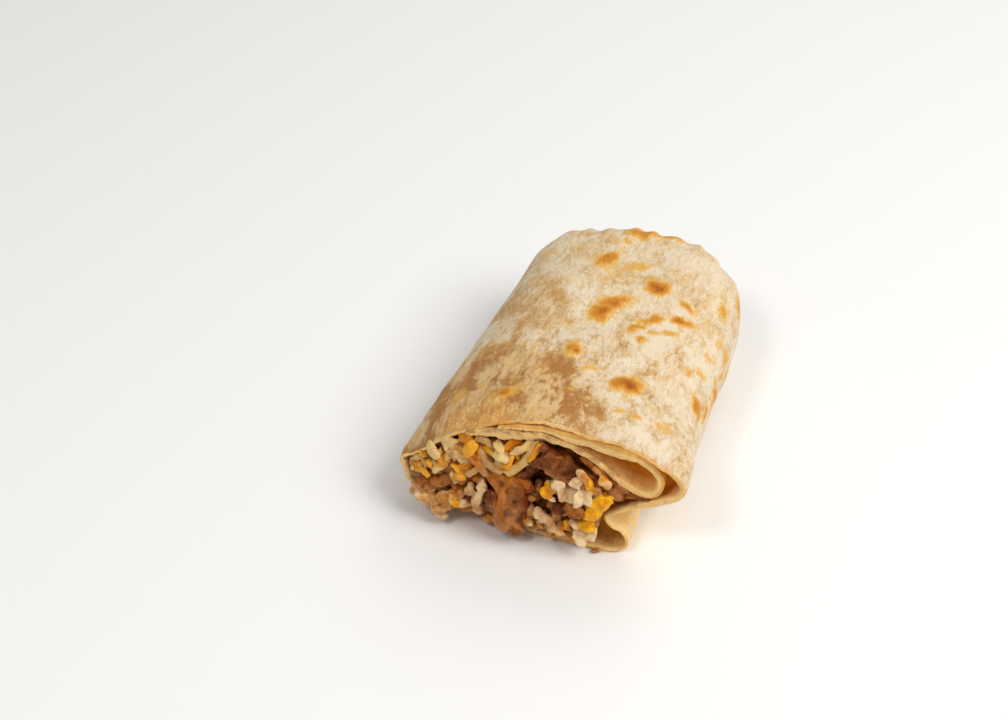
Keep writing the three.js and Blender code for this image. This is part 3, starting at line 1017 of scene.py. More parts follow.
@dataclass
class Wrap:
    """The outer wrap of the tortilla, with its cut edge and the inside of the sheet behind the cut."""

    roll: Roll
    columns: int = 400
    step: float = 0.62
    first_step: float = 0.34
    inner_depth: float = 62.0
    inner_step: float = 4.5
    edge_rows: int = 4
    hidden_blisters: int = 34
    freckles: int = 150
    ripple: float = 0.7
    ripple_width: float = 6.5
    recess: float = 6.0

    def build(self) -> bpy.types.Object:
        """Builds the wrap as one grid: from deep inside forward to the cut, over the cut edge, and back
        along the outside to the folded end.

        Returns:
            The piece, which carries toast, steam, thin, warm, edge and stain at each point.
        """
        t = self.roll.even_places(self.columns)
        y = self.roll.even_stations(self.step, self.first_step)
        cut = self.roll.cut_points(t)
        outside = self._bent(self.roll.surface(t, y), cut)
        plain_normals = grid_normals(outside, True)
        inside = self._inside(outside, plain_normals, y, cut)
        values = self._looks(outside, cut)
        outside = outside + plain_normals * self._relief(outside, values, cut)[..., None]
        outside[..., 2] = np.maximum(outside[..., 2], 0.0)
        edge = self._edge(inside[-1], outside[0])
        grid = np.concatenate([inside, edge, outside])
        right = ease((cut[:, 0] - 1.0) / 12.0) * (cut[:, 1] > 30.0)
        golden = 0.28 + 0.2 * right + 0.4 * np.exp(-(((cut[:, 0] + 14.0) / 7.0) ** 2)) * (cut[:, 1] > 30.0)
        filled = ease((16.0 - cut[:, 0]) / 4.0)
        depth = ease(inside[..., 1] / 12.0)
        # Inside the sheet the thinness value below 0 drives the painted glow, and the edge value growing with
        # depth paints warm shade.
        hidden = {
            "toast": 0.0,
            "steam": 1.6,
            "thin_and_shade": -0.4 - 0.4 * depth,
            "warm": 0.5,
            "edge": 0.1 + 0.7 * depth,
            "stain": 0.3 * filled,
        }
        rim = hidden | {"edge": golden, "stain": 0.08, "thin_and_shade": -0.4}
        joined = {}
        for name, value in hidden.items():
            unseen = np.broadcast_to(value, inside.shape[:2])
            joined[name] = np.concatenate([unseen, np.broadcast_to(rim[name], edge.shape[:2]), values[name]])
        skin = Skin()
        deep = grid[0].mean(axis=0)
        tip = np.array([self.roll.centre[1], self.roll.length, self.roll.end_height])
        skin.add_tubes(grid[None], (deep[None], tip[None]), {k: v[None] for k, v in joined.items()})
        return skin.make("tortilla_wrap", self.roll)

    def _lip(self, cut: Array) -> Array:
        """How far each column belongs to the soft lip over the cheese, 0 to 1."""
        return ease((cut[:, 0] + 43.5) / 5.0) * (1.0 - ease((cut[:, 0] + 14.0) / 16.0)) * (cut[:, 1] > 17.0)

    def _bent(self, points: Array, cut: Array) -> Array:
        """Droops the lip over the cheese and makes the cut edge wavy.

        The lip rises by up to 1.2 mm ten millimetres back and falls by 0.9 mm at the edge. The edge moves
        along y by noise that fades out over 9 mm.

        Args:
            points: The outside, rows by columns by 3.
            cut: The cut outline, one row for each column.

        Returns:
            The outside, bent.
        """
        noise = Noise(11)
        bent = points.copy()
        y = points[..., 1]
        lip = self._lip(cut)[None, :]
        swell = np.exp(-(((y - 10.0) / 7.5) ** 2))
        bent[..., 2] += lip * (1.2 * swell - 0.9 * (1.0 - ease(y / 5.0)))
        bent[..., 0] -= lip * 0.8 * swell
        front = np.stack([cut[:, 0], np.zeros(len(cut)), cut[:, 1]], axis=-1)
        wave = 0.75 * noise.at(front, 9.0) + 0.35 * noise.at(front, 2.6) + 0.12 * noise.at(front, 0.9)
        under = ease((cut[:, 0] + 43.0) / 6.0) * (1.0 - ease((cut[:, 0] + 14.0) / 10.0)) * (cut[:, 1] < 12.0)
        bent[..., 1] += wave[None, :] * (1.0 - ease(y / 9.0))
        bent[..., 1] += self.recess * under[None, :] * (1.0 - ease(y / 26.0))
        return bent

    def _inside(self, outside: Array, normals: Array, y: Array, cut: Array) -> Array:
        """The inside of the sheet: the outside moved in by the sheet's thickness, which is less over the
        cheese and in the curl, at fewer sections.

        Args:
            outside: Rows by columns by 3.
            normals: The outside's normals.
            y: The section of each row.
            cut: The cut outline, one row for each column.

        Returns:
            Rows from deepest to the cut.
        """
        rows = [0, 2, 5, 9, 14]
        while y[rows[-1]] < self.inner_depth:
            rows.append(int(np.searchsorted(y, y[rows[-1]] + self.inner_step)))
        chosen = np.array(rows[::-1])
        window = 5
        smooth = unit(sum(np.roll(normals[chosen], k, axis=1) for k in range(-window, window + 1)))
        over_cheese = ease((4.0 - cut[:, 0]) / 8.0) * (cut[:, 1] > 17.0)
        in_curl = ease((cut[:, 0] - 14.0) / 4.0) * (cut[:, 1] < 19.0)
        thickness = self.roll.sheet * (1.0 - 0.4 * over_cheese - 0.4 * in_curl)
        return outside[chosen] - smooth * thickness[:, None]

    def _edge(self, inner: Array, outer: Array) -> Array:
        """The cut edge: rows between the inner and the outer edge, swelling forward by a sine and roughened.

        Args:
            inner: The first row of the inside.
            outer: The first row of the outside.

        Returns:
            Rows by columns by 3.
        """
        noise = Noise(12)
        share = (np.arange(1, self.edge_rows + 1) / (self.edge_rows + 1))[:, None, None]
        rows = mix(inner[None], outer[None], share)
        rough = 0.22 * noise.layered(rows, 1.6, 2)
        rows[..., 1] += rough - 0.45 * np.sin(math.pi * share[..., 0])
        return rows

    def _looks(self, points: Array, cut: Array) -> dict[str, Array]:
        """What the outside carries at each point: toast from the blisters and freckles, steam on the lip,
        the ramp and the curl, thinness where the dough shows through, which also paints shade over the front
        left near the cut and rises towards the bottom, warm towards the folded end and the left flank, edge
        beside the cut, and no stain.

        Args:
            points: The outside, rows by columns by 3.
            cut: The cut outline, one row for each column.

        Returns:
            Rows by columns, by name.
        """
        noise = Noise(13)
        rng = np.random.default_rng(14)
        x, y, z = np.moveaxis(points, -1, 0)
        shifts = np.stack([noise.at(points + 23.0 * k, 3.2) for k in range(3)], axis=-1)
        warped = points + 1.3 * shifts
        toast = np.zeros(x.shape)
        for blister in self._all_blisters(points, rng):
            toast = np.maximum(toast, blister.toast * blister.falloff(warped))
        uneven = noise.layered(points, 7.0, 2)
        behind = np.clip(y, 0.0, None)
        reach = 1.0 + 0.52 * np.clip(-x - 6.0, 0.0, 24.0) - 2.5 * uneven
        lip = ease((x + 37.0) / 5.0) * (1.0 - ease((x + 6.0) / 9.0)) * (z > 17.0)
        lip = lip * (1.0 - ease((y - reach) / 4.0))
        curled = ease((14.0 - cut[:, 2]) / 14.0) * ease((cut[:, 2] + 78.0) / 14.0)
        hollow = curled[None, :] * (1.0 - ease((y - 12.0) / 12.0))
        steam = np.maximum(0.82 * lip, 0.9 * hollow)
        patch = np.exp(-(((x + 4.0) / 13.0) ** 2) - ((y - 13.0) / 8.0) ** 2)
        bared = np.exp(-(((x + 4.0) / 7.0) ** 2) - ((y - 9.0) / 5.0) ** 2)
        # Painted shade: the front left near the cut counts as thinner, so it comes out darker and browner.
        shaded = ease((40.0 - y) / 30.0) * ease((10.0 - x) / 24.0)
        shaded = shaded + 0.45 * ease((40.0 - y) / 20.0) * ease((20.0 - x) / 30.0)
        thin_and_shade = (0.5 * patch + 1.5 * bared + shaded) * (1.0 + 0.6 * uneven)
        thin_and_shade = thin_and_shade + 0.5 * ease((12.0 - z) / 12.0) * (1.0 - hollow)
        floured = 0.06 * ease((x - 14.0) / 14.0) + 0.22 * ease((y - 45.0) / 40.0)
        thin_and_shade = np.clip(thin_and_shade - floured - 0.6 * hollow, -0.4, 1.4)
        warm = np.clip(ease((y - 45.0) / 50.0) + 0.7 * ease((4.0 - x) / 26.0), 0.0, 1.0)
        edge = np.exp(-behind / (0.5 + 0.3 * noise.at(points, 5.0))) * (1.0 + 0.4 * noise.at(points, 2.0))
        edge = edge * (0.15 + 0.45 * ease((x - 2.0) / 14.0) * ease((z - 28.0) / 6.0))
        edge = np.clip(edge + 0.2 * lip * np.exp(-behind / 3.0), 0.0, 1.0)
        return {"toast": toast, "steam": steam, "thin_and_shade": thin_and_shade, "warm": warm, "edge": edge, "stain": 0.0 * x}

    def _all_blisters(self, points: Array, rng: np.random.Generator) -> list[Blister]:
        """The blisters on show, others like them on the flanks and underside, and small freckles.

        Args:
            points: The outside, where the others are set.
            rng: Draws their places and sizes.

        Returns:
            All of them.
        """
        flat = points.reshape(-1, 3)
        found = list(BLISTERS)
        while len(found) < len(BLISTERS) + self.hidden_blisters:
            at = flat[rng.integers(len(flat))]
            if 4.0 < at[1] and not (at[2] > 27.0 and at[0] > -32.0 and at[1] < 97.0):
                size = rng.uniform(1.8, 4.6)
                along, toast, rise = (rng.uniform(*ends) for ends in ((0.7, 1.5), (0.45, 1.0), (0.2, 0.7)))
                found.append(Blister(tuple(at), size, size * along, toast, rise))
        for _ in range(self.freckles):
            at = flat[rng.integers(len(flat))]
            size = rng.uniform(0.5, 1.5)
            across, toast, rise = (rng.uniform(*ends) for ends in ((0.8, 1.6), (0.2, 0.42), (0.05, 0.2)))
            found.append(Blister(tuple(at), size * across, size, toast, rise))
        return found

    def _relief(self, points: Array, values: dict[str, Array], cut: Array) -> Array:
        """How far the outside stands out along its normals: blisters, soft wrinkles along the roll, ripples
        round the folded end, three sizes of unevenness, and the top's cut edge rolled over at the right.

        Args:
            points: The outside, rows by columns by 3.
            values: What it carries.
            cut: The cut outline, one row for each column.

        Returns:
            Millimetres, rows by columns.
        """
        noise = Noise(15)
        x, y, z = np.moveaxis(points, -1, 0)
        rise = np.zeros(x.shape)
        for blister in BLISTERS:
            rise = np.maximum(rise, blister.rise * blister.falloff(points))
        turned = np.stack([0.88 * x - 0.47 * y, (0.47 * x + 0.88 * y) / 3.0, z], axis=-1)
        fold = 1.0 - np.abs(noise.at(turned, 8.0)) * 2.6
        front_left = ease((46.0 - y) / 40.0) * ease((14.0 - x) / 26.0)
        wrinkles = np.clip(fold, 0.0, 1.0) ** 2 * (0.10 + 0.30 * front_left)
        smooth_lip = 1.0 - 0.7 * values["steam"]
        swell = 0.75 * noise.at(points, 19.0) + 0.22 * noise.at(points, 6.5) + 0.05 * noise.at(turned, 2.6)
        pits = 0.03 * noise.at(points, 1.1)
        end = ease((y - 88.0) / 8.0) * ease((z - 26.0) / 8.0)
        scallop = np.sin(2 * math.pi * (x + 2.6 * noise.at(points, 11.0)) / self.ripple_width)
        ripples = self.ripple * end * (0.5 + 0.5 * scallop) ** 1.4
        lying = ease(z / 2.5)
        rolled = 0.9 * ease((cut[:, 0] - 2.0) / 8.0) * ease((cut[:, 1] - 33.0) / 4.0) * (1.0 - ease(y / 2.2))
        raised = rise + (wrinkles + swell + pits) * smooth_lip * 0.8 + ripples
        return raised * lying * (0.25 + 0.75 * ease(y / 3.0)) - rolled


@dataclass
class InnerFold:
    """The sheet's inner end: from its torn edge it runs right under the top, turns back on itself and runs
    left over the filling to the wall. The line gives x, z and half the thickness."""

    roll: Roll
    depth: float = 24.0
    steps: int = 320
    line: tuple[Point, ...] = (
        (-14.5, 38.1, 0.5),
        (-11.3, 38.8, 0.8),
        (-8.5, 39.6, 0.9),
        (-2.8, 40.2, 1.1),
        (3.0, 39.9, 1.6),
        (7.1, 39.4, 1.9),
        (14.2, 38.6, 2.2),
        (19.7, 38.5, 2.0),
        (25.4, 37.3, 1.6),
        (28.8, 34.8, 1.3),
        (31.4, 31.0, 1.2),
        (30.8, 27.0, 1.2),
        (28.1, 24.9, 1.3),
        (24.7, 25.4, 1.2),
        (20.7, 27.6, 1.0),
        (16.6, 30.6, 0.9),
        (13.2, 32.8, 0.9),
        (8.6, 35.0, 0.9),
        (4.4, 36.6, 1.1),
        (0.1, 37.4, 1.3),
        (-3.0, 37.7, 1.5),
        (-8.5, 36.8, 1.6),
        (-12.5, 36.0, 1.7),
        (-17.5, 35.3, 1.6),
        (-22.0, 33.8, 1.0),
        (-26.5, 31.2, 0.7),
        (-30.5, 27.4, 0.5),
    )

    def build(self) -> bpy.types.Object:
        """Builds the fold as a long loop carried along the line: back to front on one side of the sheet,
        over the cut edge, and front to back on the other side.

        Returns:
            The piece, which carries the same values as the wrap.
        """
        noise = Noise(21)
        path = even_curve(self.line, self.steps)
        ahead = unit(np.gradient(path[:, :2], axis=0))
        side = np.stack([-ahead[:, 1], ahead[:, 0]], axis=1)
        y = self.depth * np.linspace(0.0, 1.0, 22) ** 1.5
        turn = np.array([0.0, 0.5, 0.87, 1.0, 0.87, 0.5, 0.0])
        across = np.concatenate([np.ones(len(y)), [0.8, 0.42, 0.0, -0.42, -0.8], -np.ones(len(y))])
        ahead_of_cut = np.concatenate([np.zeros(len(y)), turn[1:-1], np.zeros(len(y))])
        back = np.concatenate([y[::-1], np.zeros(5), y])
        here = np.stack([path[:, 0], np.zeros(len(path)), path[:, 1]], axis=1)
        wave = 0.7 * noise.at(here, 8.0) + 0.35 * noise.at(here, 2.2) + 0.15 * noise.at(here, 0.8)
        bulge = 0.55 + 0.25 * noise.at(here, 1.3)
        grid_y = back[None, :] + wave[:, None] * (1.0 - ease(back / 7.0))[None, :]
        grid_y = grid_y - bulge[:, None] * ahead_of_cut[None, :] * 0.8
        share = np.arange(self.steps) / self.steps
        returning = ease((share - 0.46) / 0.06)[:, None]
        frayed = returning[:, 0] * ease((2.0 - path[:, 0]) / 6.0)
        thick = path[:, 2] * (0.95 + 0.15 * noise.at(here, 6.0) + 0.4 * frayed * noise.at(here, 1.4))
        thick = thick[:, None]
        x = path[:, 0][:, None] + side[:, 0][:, None] * across[None, :] * thick
        z = path[:, 1][:, None] + side[:, 1][:, None] * across[None, :] * thick
        grid = np.stack([x, grid_y, z], axis=-1)
        grid[..., 1] += 5.0 * returning * ease((-21.5 - x) / 8.0) - 0.8 * ease((-2.0 - x) / 6.0)
        lean = np.clip(grid_y, 0.0, None)
        grid[..., 0] -= 0.10 * lean * ease((x - 5.0) / 20.0)
        grid[..., 2] -= 0.05 * lean
        drift = 0.35 * noise.at(grid, 7.0) + 0.12 * noise.at(grid, 2.0)
        grid[..., 0] += side[:, 0][:, None] * drift
        grid[..., 2] += side[:, 1][:, None] * drift
        front = np.exp(-np.clip(grid_y, 0.0, None) / 1.6)
        facing_filling = (across < 0)[None, :] * returning
        soaked = np.exp(-(((x + 3.0) / 3.0) ** 2)) * (across > 0) * returning
        # As inside the wrap, the thinness value below 0 drives the painted glow, and the edge value growing
        # with depth paints warm shade.
        values = {
            "toast": np.zeros(front.shape),
            "steam": np.full(front.shape, 1.6),
            "thin_and_shade": -0.4 - 0.4 * ease(grid_y / 12.0),
            "warm": np.full(front.shape, 0.3),
            "edge": 0.28 + (1.0 - returning) * (across > 0) * 0.4 + 0.7 * ease(grid_y / 14.0),
            "stain": returning * (0.08 + 0.5 * facing_filling) * (0.4 + 0.6 * front) + soaked,
        }
        skin = Skin()
        ends = (grid[0].mean(axis=0)[None], grid[-1].mean(axis=0)[None])
        skin.add_tubes(grid[None], ends, {k: v[None] for k, v in values.items()})
        return skin.make("tortilla_inner_fold", self.roll)


# -------------------- filling


@dataclass(frozen=True)
class Layer:
    """One filling's core, a little behind the cut: its outline in the section and how it runs back."""

    name: str
    outline: tuple[tuple[float, float], ...]
    front: float = 0.5
    dome: float = 1.5
    rough: float = 0.7
    columns: int = 120
    rings: int = 14
    axis: tuple[float, float] = (-3.0, 18.0)
    sections: tuple[tuple[float, float], ...] = (
        (8.0, 0.97),
        (25.0, 0.85),
        (45.0, 0.78),
        (65.0, 0.73),
        (82.0, 0.68),
        (92.0, 0.52),
    )

    def build(self, roll: Roll) -> bpy.types.Object:
        """Builds the core: rings of the outline shrink to its middle over a low dome at the front, and
        sections of it run back towards the folded end, shrinking towards the roll's axis.

        Args:
            roll: Moves the points into the model's frame.

        Returns:
            The piece.
        """
        noise = Noise(31)
        edge = even_curve(self.outline, self.columns, closed=True)
        middle = edge.mean(axis=0)
        share = np.linspace(0.04, 1.0, self.rings)
        depth = self.front - self.dome * (1.0 - share**2)
        disc = middle + (edge[None] - middle) * share[:, None, None]
        depths = np.broadcast_to(depth[:, None], disc.shape[:2])
        rows = [np.stack([disc[..., 0], depths, disc[..., 1]], axis=-1)]
        for y, scale in self.sections:
            ring = np.array(self.axis) * (1.0 - scale) + edge * scale
            rows.append(np.stack([ring[:, 0], np.full(len(ring), y), ring[:, 1]], axis=-1)[None])
        grid = np.concatenate(rows)
        near = 1.0 - ease((grid[..., 1] - 1.0) / 6.0)
        grid[..., 1] -= near * self.rough * noise.layered(grid, 3.2, 3)
        tips = (np.array([[middle[0], self.front - self.dome, middle[1]]]), grid[-1].mean(axis=0)[None])
        skin = Skin()
        skin.add_tubes(grid[None], tips, {"stain": np.array(0.5), "tint": np.array(0.8)})
        return skin.make(self.name, roll)


@dataclass(frozen=True)
class Lump:
    """A lump of filling: its centre, its radii, its lean in degrees clockwise in the section, and how much
    it has of the two looks that its kind of filling has."""

    at: Point
    radii: Point
    lean: float = 0.0
    first: float = 0.0
    second: float = 0.0

    def around(self, rng: np.random.Generator, count: int) -> list["Lump"]:
        """Smaller lumps scattered over this one, with looks much like its own.

        Args:
            rng: Draws their places, sizes and looks.
            count: How many.

        Returns:
            The lumps.
        """
        found = []
        for way in unit(rng.normal(size=(count, 3))):
            at = np.array(self.at) + way * np.array(self.radii) * rng.uniform(0.45, 0.8)
            radii = np.array(self.radii) * rng.uniform(0.35, 0.65) * rng.uniform(0.75, 1.25, 3)
            looks = (v + rng.uniform(-0.3, 0.3) for v in (self.first, self.second))
            found.append(Lump(tuple(at), tuple(radii), self.lean + rng.uniform(-40.0, 40.0), *looks))
        return found


@dataclass(frozen=True)
class Grain:
    """How chunky and rough the lumps of one filling are."""

    faces: int
    sharpness: float
    rough: float
    rough_size: float


def lump_grids(
    lumps: Sequence[Lump], rows: int, columns: int, seed: int, grain: Grain
) -> tuple[Array, Array, Array]:
    """Chunks with rounded flat faces: along a direction d a chunk reaches out to r, with r⁻ᵖ the sum over
    its faces of (d · n / h)ᵖ, for faces of normal n and height h. Noise then makes it uneven, and it is
    stretched to its radii and leaned over.

    Args:
        lumps: The lumps.
        rows: Rows from pole to pole, without the poles.
        columns: Columns round each.
        seed: Which faces and noise.
        grain: How chunky and rough.

    Returns:
        Lumps by rows by columns by 3, and the two rows of poles.
    """
    drawn = [np.random.default_rng((seed, part)) for part in range(2)]
    polar = np.linspace(0.0, math.pi, rows + 2)[:, None]
    turn = np.linspace(0.0, 2 * math.pi, columns, endpoint=False)[None]
    x, y = np.sin(polar) * np.cos(turn), np.sin(polar) * np.sin(turn)
    ways = np.stack([x, y, np.broadcast_to(np.cos(polar), x.shape)], axis=-1)
    normals = unit(drawn[0].normal(size=(len(lumps), grain.faces, 3)))
    heights = drawn[1].uniform(0.62, 1.0, (len(lumps), 1, 1, grain.faces))
    facing = np.maximum(np.einsum("rci,lfi->lrcf", ways, normals) / heights, 0.0)
    facing = np.concatenate([facing, np.full(facing.shape[:-1] + (1,), 1 / 1.12)], axis=-1)
    reach = np.sum(facing**grain.sharpness, axis=-1) ** (-1.0 / grain.sharpness)
    radii = np.array([lump.radii for lump in lumps])[:, None, None]
    centre = np.array([lump.at for lump in lumps])[:, None, None]
    lean = np.radians([lump.lean for lump in lumps])[:, None, None]
    shape = ways[None] * reach[..., None] * radii
    shape = shape * (1.0 + grain.rough * Noise(seed).layered(shape + centre, grain.rough_size, 2))[..., None]
    x = shape[..., 0] * np.cos(lean) + shape[..., 2] * np.sin(lean)
    z = shape[..., 2] * np.cos(lean) - shape[..., 0] * np.sin(lean)
    shape = np.stack([x, shape[..., 1], z], axis=-1) + centre
    return shape[:, 1:-1], shape[:, 0].mean(axis=1), shape[:, -1].mean(axis=1)


def weigh_looks(gaps: Array, looks: Array, softness: float) -> Array:
    """Looks at each point: a mean of the shapes' looks weighted by exp(−gap / softness).

    Args:
        gaps: How far each point is from each shape's skin, shapes by points.
        looks: One row of numbers for each shape.
        softness: How far looks blend into each other, in millimetres.

    Returns:
        One row of numbers for each point.
    """
    weights = np.exp(-(gaps - gaps.min(axis=0)) / softness)
    return (weights.T @ looks) / weights.sum(axis=0)[:, None]


def lump_gaps(points: Array, lumps: Sequence[Lump]) -> Array:
    """About how far each point is from each lump's skin: (|p over the radii| − 1) times the mean radius.

    Args:
        points: One row for each point, in the roll's frame.
        lumps: The lumps.

    Returns:
        Lumps by points.
    """
    gaps = np.empty((len(lumps), len(points)))
    for gap, lump in zip(gaps, lumps):
        x, y, z = (points - np.array(lump.at)).T
        cosine, sine = math.cos(math.radians(lump.lean)), math.sin(math.radians(lump.lean))
        local = np.stack([x * cosine - z * sine, y, z * cosine + x * sine])
        gap[:] = (np.linalg.norm(local / np.array(lump.radii)[:, None], axis=0) - 1.0) * np.mean(lump.radii)
    return gaps


@dataclass(frozen=True)
class Relief:
    """Unevenness of one size: its size and height in millimetres."""

    size: float
    height: float


@dataclass(frozen=True)
class Moulding:
    """How loose shapes become one moist mass: the voxel that joins them, how many times the joints are
    softened, the unevenness of the skin, and how deep a hollow counts as fully deep."""

    voxel: float
    softening: int
    relief: tuple[Relief, ...]
    hollow_size: float = 0.35
    hollow_rounds: int = 14

    def apply(self, piece: bpy.types.Object, roll: Roll, seed: int) -> Array:
        """Joins and roughens a piece: each point moves along its normal by the sum of the reliefs.

        Args:
            piece: The piece, which gains hollow: 1 deep between the shapes, and below 0 on ridges.
            roll: Moves points between the frames.
            seed: Which noise.

        Returns:
            The piece's points in the roll's frame.
        """
        fuse(piece, self.voxel, self.softening)
        points, normals = read_points(piece.data)
        local = (points - roll.place(np.zeros((1, 3)))) / MM
        noise = Noise(seed)
        moved = local.copy()
        for relief in self.relief:
            moved += normals * (relief.height * noise.at(local, relief.size))[:, None]
        moved[:, 2] = np.maximum(moved[:, 2], 0.25)
        piece.data.vertices.foreach_set("co", roll.place(moved).reshape(-1))
        piece.data.update()
        deep = hollowness(piece.data, moved, read_points(piece.data)[1], self.hollow_rounds)
        write_values(piece.data, "hollow", np.clip(deep / self.hollow_size, -1.0, 1.0))
        return moved


@dataclass(frozen=True)
class Shred:
    """A shred or flake: its two ends and their widths, how far its middle bows out, how much it has of its
    kind's second and first looks, and its thickness as a share of its width."""

    start: Point
    end: Point
    widths: tuple[float, float]
    bow: Point = (0.0, 0.0, 0.0)
    second: float = 0.0
    first: float = 0.3
    thick: float = 0.72


def shred_grids(
    shreds: Sequence[Shred], rows: int, columns: int, noise: Noise, rng: np.random.Generator, tear: float
) -> tuple[Array, Array, Array]:
    """Shreds: each a flat bar carried along a bowed line, cupped, twisted, narrowed towards its ends and
    torn off at a slant.

    Args:
        shreds: The shreds.
        rows: Rows along each.
        columns: Columns round each.
        noise: What makes them uneven.
        rng: Draws their turns, twists and cups.
        tear: How far the torn ends wander, in millimetres.

    Returns:
        Shreds by rows by columns by 3, the lines they are carried along, and their widths on the lines.
    """
    drawn = rng.uniform(size=(7, len(shreds), 1, 1))
    names = ("start", "end", "bow", "widths")
    start, end, bow, widths = (np.array([getattr(shred, name) for shred in shreds]) for name in names)
    t = np.linspace(0.0, 1.0, rows)[None, :, None]
    path = mix(start[:, None], end[:, None], t) + bow[:, None] * np.sin(math.pi * t)
    path += 0.45 * np.stack([noise.at(path + 31.0 * k, 3.0) for k in range(3)], axis=-1)
    ahead = unit(np.gradient(path, axis=1))
    upward = unit(np.cross(ahead, np.broadcast_to([0.35, -0.8, 0.5], ahead.shape)))
    level = np.cross(ahead, upward)
    turn = (drawn[0] - 0.5) * 0.9 + (drawn[1] - 0.5) * 1.8 * (t - 0.5) + math.pi / 2
    upward, level = upward * np.cos(turn) + level * np.sin(turn), level * np.cos(turn) - upward * np.sin(turn)
    angle = np.linspace(0.0, 2 * math.pi, columns, endpoint=False)
    across, through = power(np.cos(angle), 0.7), power(np.sin(angle), 0.7)
    narrowed = (1.0 - 0.45 * drawn[2] ** 2 * (1.0 - t) ** 3) * (1.0 - 0.5 * drawn[3] ** 2 * t**3)
    wide = mix(widths[:, None, :1], widths[:, None, 1:], t) * narrowed
    wide = wide * (1.0 + 0.18 * noise.at(path, 2.6)[..., None])
    thick = np.array([shred.thick for shred in shreds])[:, None, None]
    thick = thick * (0.75 + 0.25 * noise.at(path + 9.0, 2.0)[..., None])
    cup = (drawn[4] - 0.35) * 0.7 * wide * (across**2 - 0.4)
    grids = path[:, :, None] + level[:, :, None] * (0.5 * across * wide)[..., None]
    grids = grids + upward[:, :, None] * (0.5 * through * wide * thick + cup * 0.5)[..., None]
    ends = np.abs(2.0 * t - 1.0) ** 5.0 * np.sign(t - 0.5)
    slant = mix(drawn[5], drawn[6], t) * 2.0 - 1.0
    ragged = tear * (1.0 + noise.at(grids, 1.0)) * ends + 0.35 * slant * across * wide * np.abs(ends)
    grids -= ahead[:, :, None] * ragged[..., None]
    grids += unit(grids - path[:, :, None]) * (0.2 * noise.at(grids, 1.6))[..., None]
    return grids, path, wide[..., 0]


def shred_gaps(points: Array, paths: Array, wide: Array) -> Array:
    """How far each point is outside each shred, as a string of balls on every third place of its line.

    Args:
        points: One row for each point, in the roll's frame.
        paths: The shreds' lines.
        wide: The shreds' widths on the lines.

    Returns:
        Shreds by points.
    """
    gaps = np.empty((len(paths), len(points)))
    for gap, line, width in zip(gaps, paths, wide):
        balls = [np.linalg.norm(points - line[k], axis=1) - 0.4 * width[k] for k in range(1, len(line), 3)]
        gap[:] = np.min(balls, axis=0)
    return gaps


@dataclass(frozen=True)
class Mass:
    """Lumps and shreds fused into one moist mass."""

    name: str
    seed: int
    moulding: Moulding
    lumps: Sequence[Lump] = ()
    grain: Grain = Grain(7, 5.0, 0.12, 3.0)
    shreds: Sequence[Shred] = ()
    tear: float = 0.5
    blending: float = 0.45

    def build(
        self, roll: Roll, looks: tuple[str, str], rng: np.random.Generator | None = None
    ) -> tuple[bpy.types.Object, Array]:
        """Builds the mass from the skins of its lumps and shreds.

        Args:
            roll: Moves points between the frames.
            looks: What the first and second looks are called on the finished piece.
            rng: Draws the shreds' turns, or none for one of the mass's own seed.

        Returns:
            The piece, which carries the two looks and hollow, and its points in the roll's frame.
        """
        skin = Skin()
        if self.lumps:
            grids, first, last = lump_grids(self.lumps, 18, 24, self.seed, self.grain)
            grids[..., 2] = np.maximum(grids[..., 2], 0.5)
            skin.add_tubes(grids, (first, last))
        if self.shreds:
            rng = rng or np.random.default_rng(self.seed)
            bars, paths, wide = shred_grids(self.shreds, 16, 16, Noise(self.seed), rng, self.tear)
            skin.add_tubes(bars, tuple(bars[:, row].mean(axis=1) for row in (0, -1)))
        piece = skin.make(self.name, roll)
        local = self.moulding.apply(piece, roll, self.seed + 1)
        gaps = lump_gaps(local, self.lumps)
        if self.shreds:
            gaps = np.concatenate([gaps, shred_gaps(local, paths, wide)])
        shares = np.array([(s.first, s.second) for s in (*self.lumps, *self.shreds)])
        for name, values in zip(looks, weigh_looks(gaps, shares, self.blending).T):
            write_values(piece.data, name, values)
        return piece, local


class Kind(Enum):
    """Which cheese a shred is of."""

    WHITE = "cheese_shreds_white"
    YELLOW = "cheese_shreds_yellow"


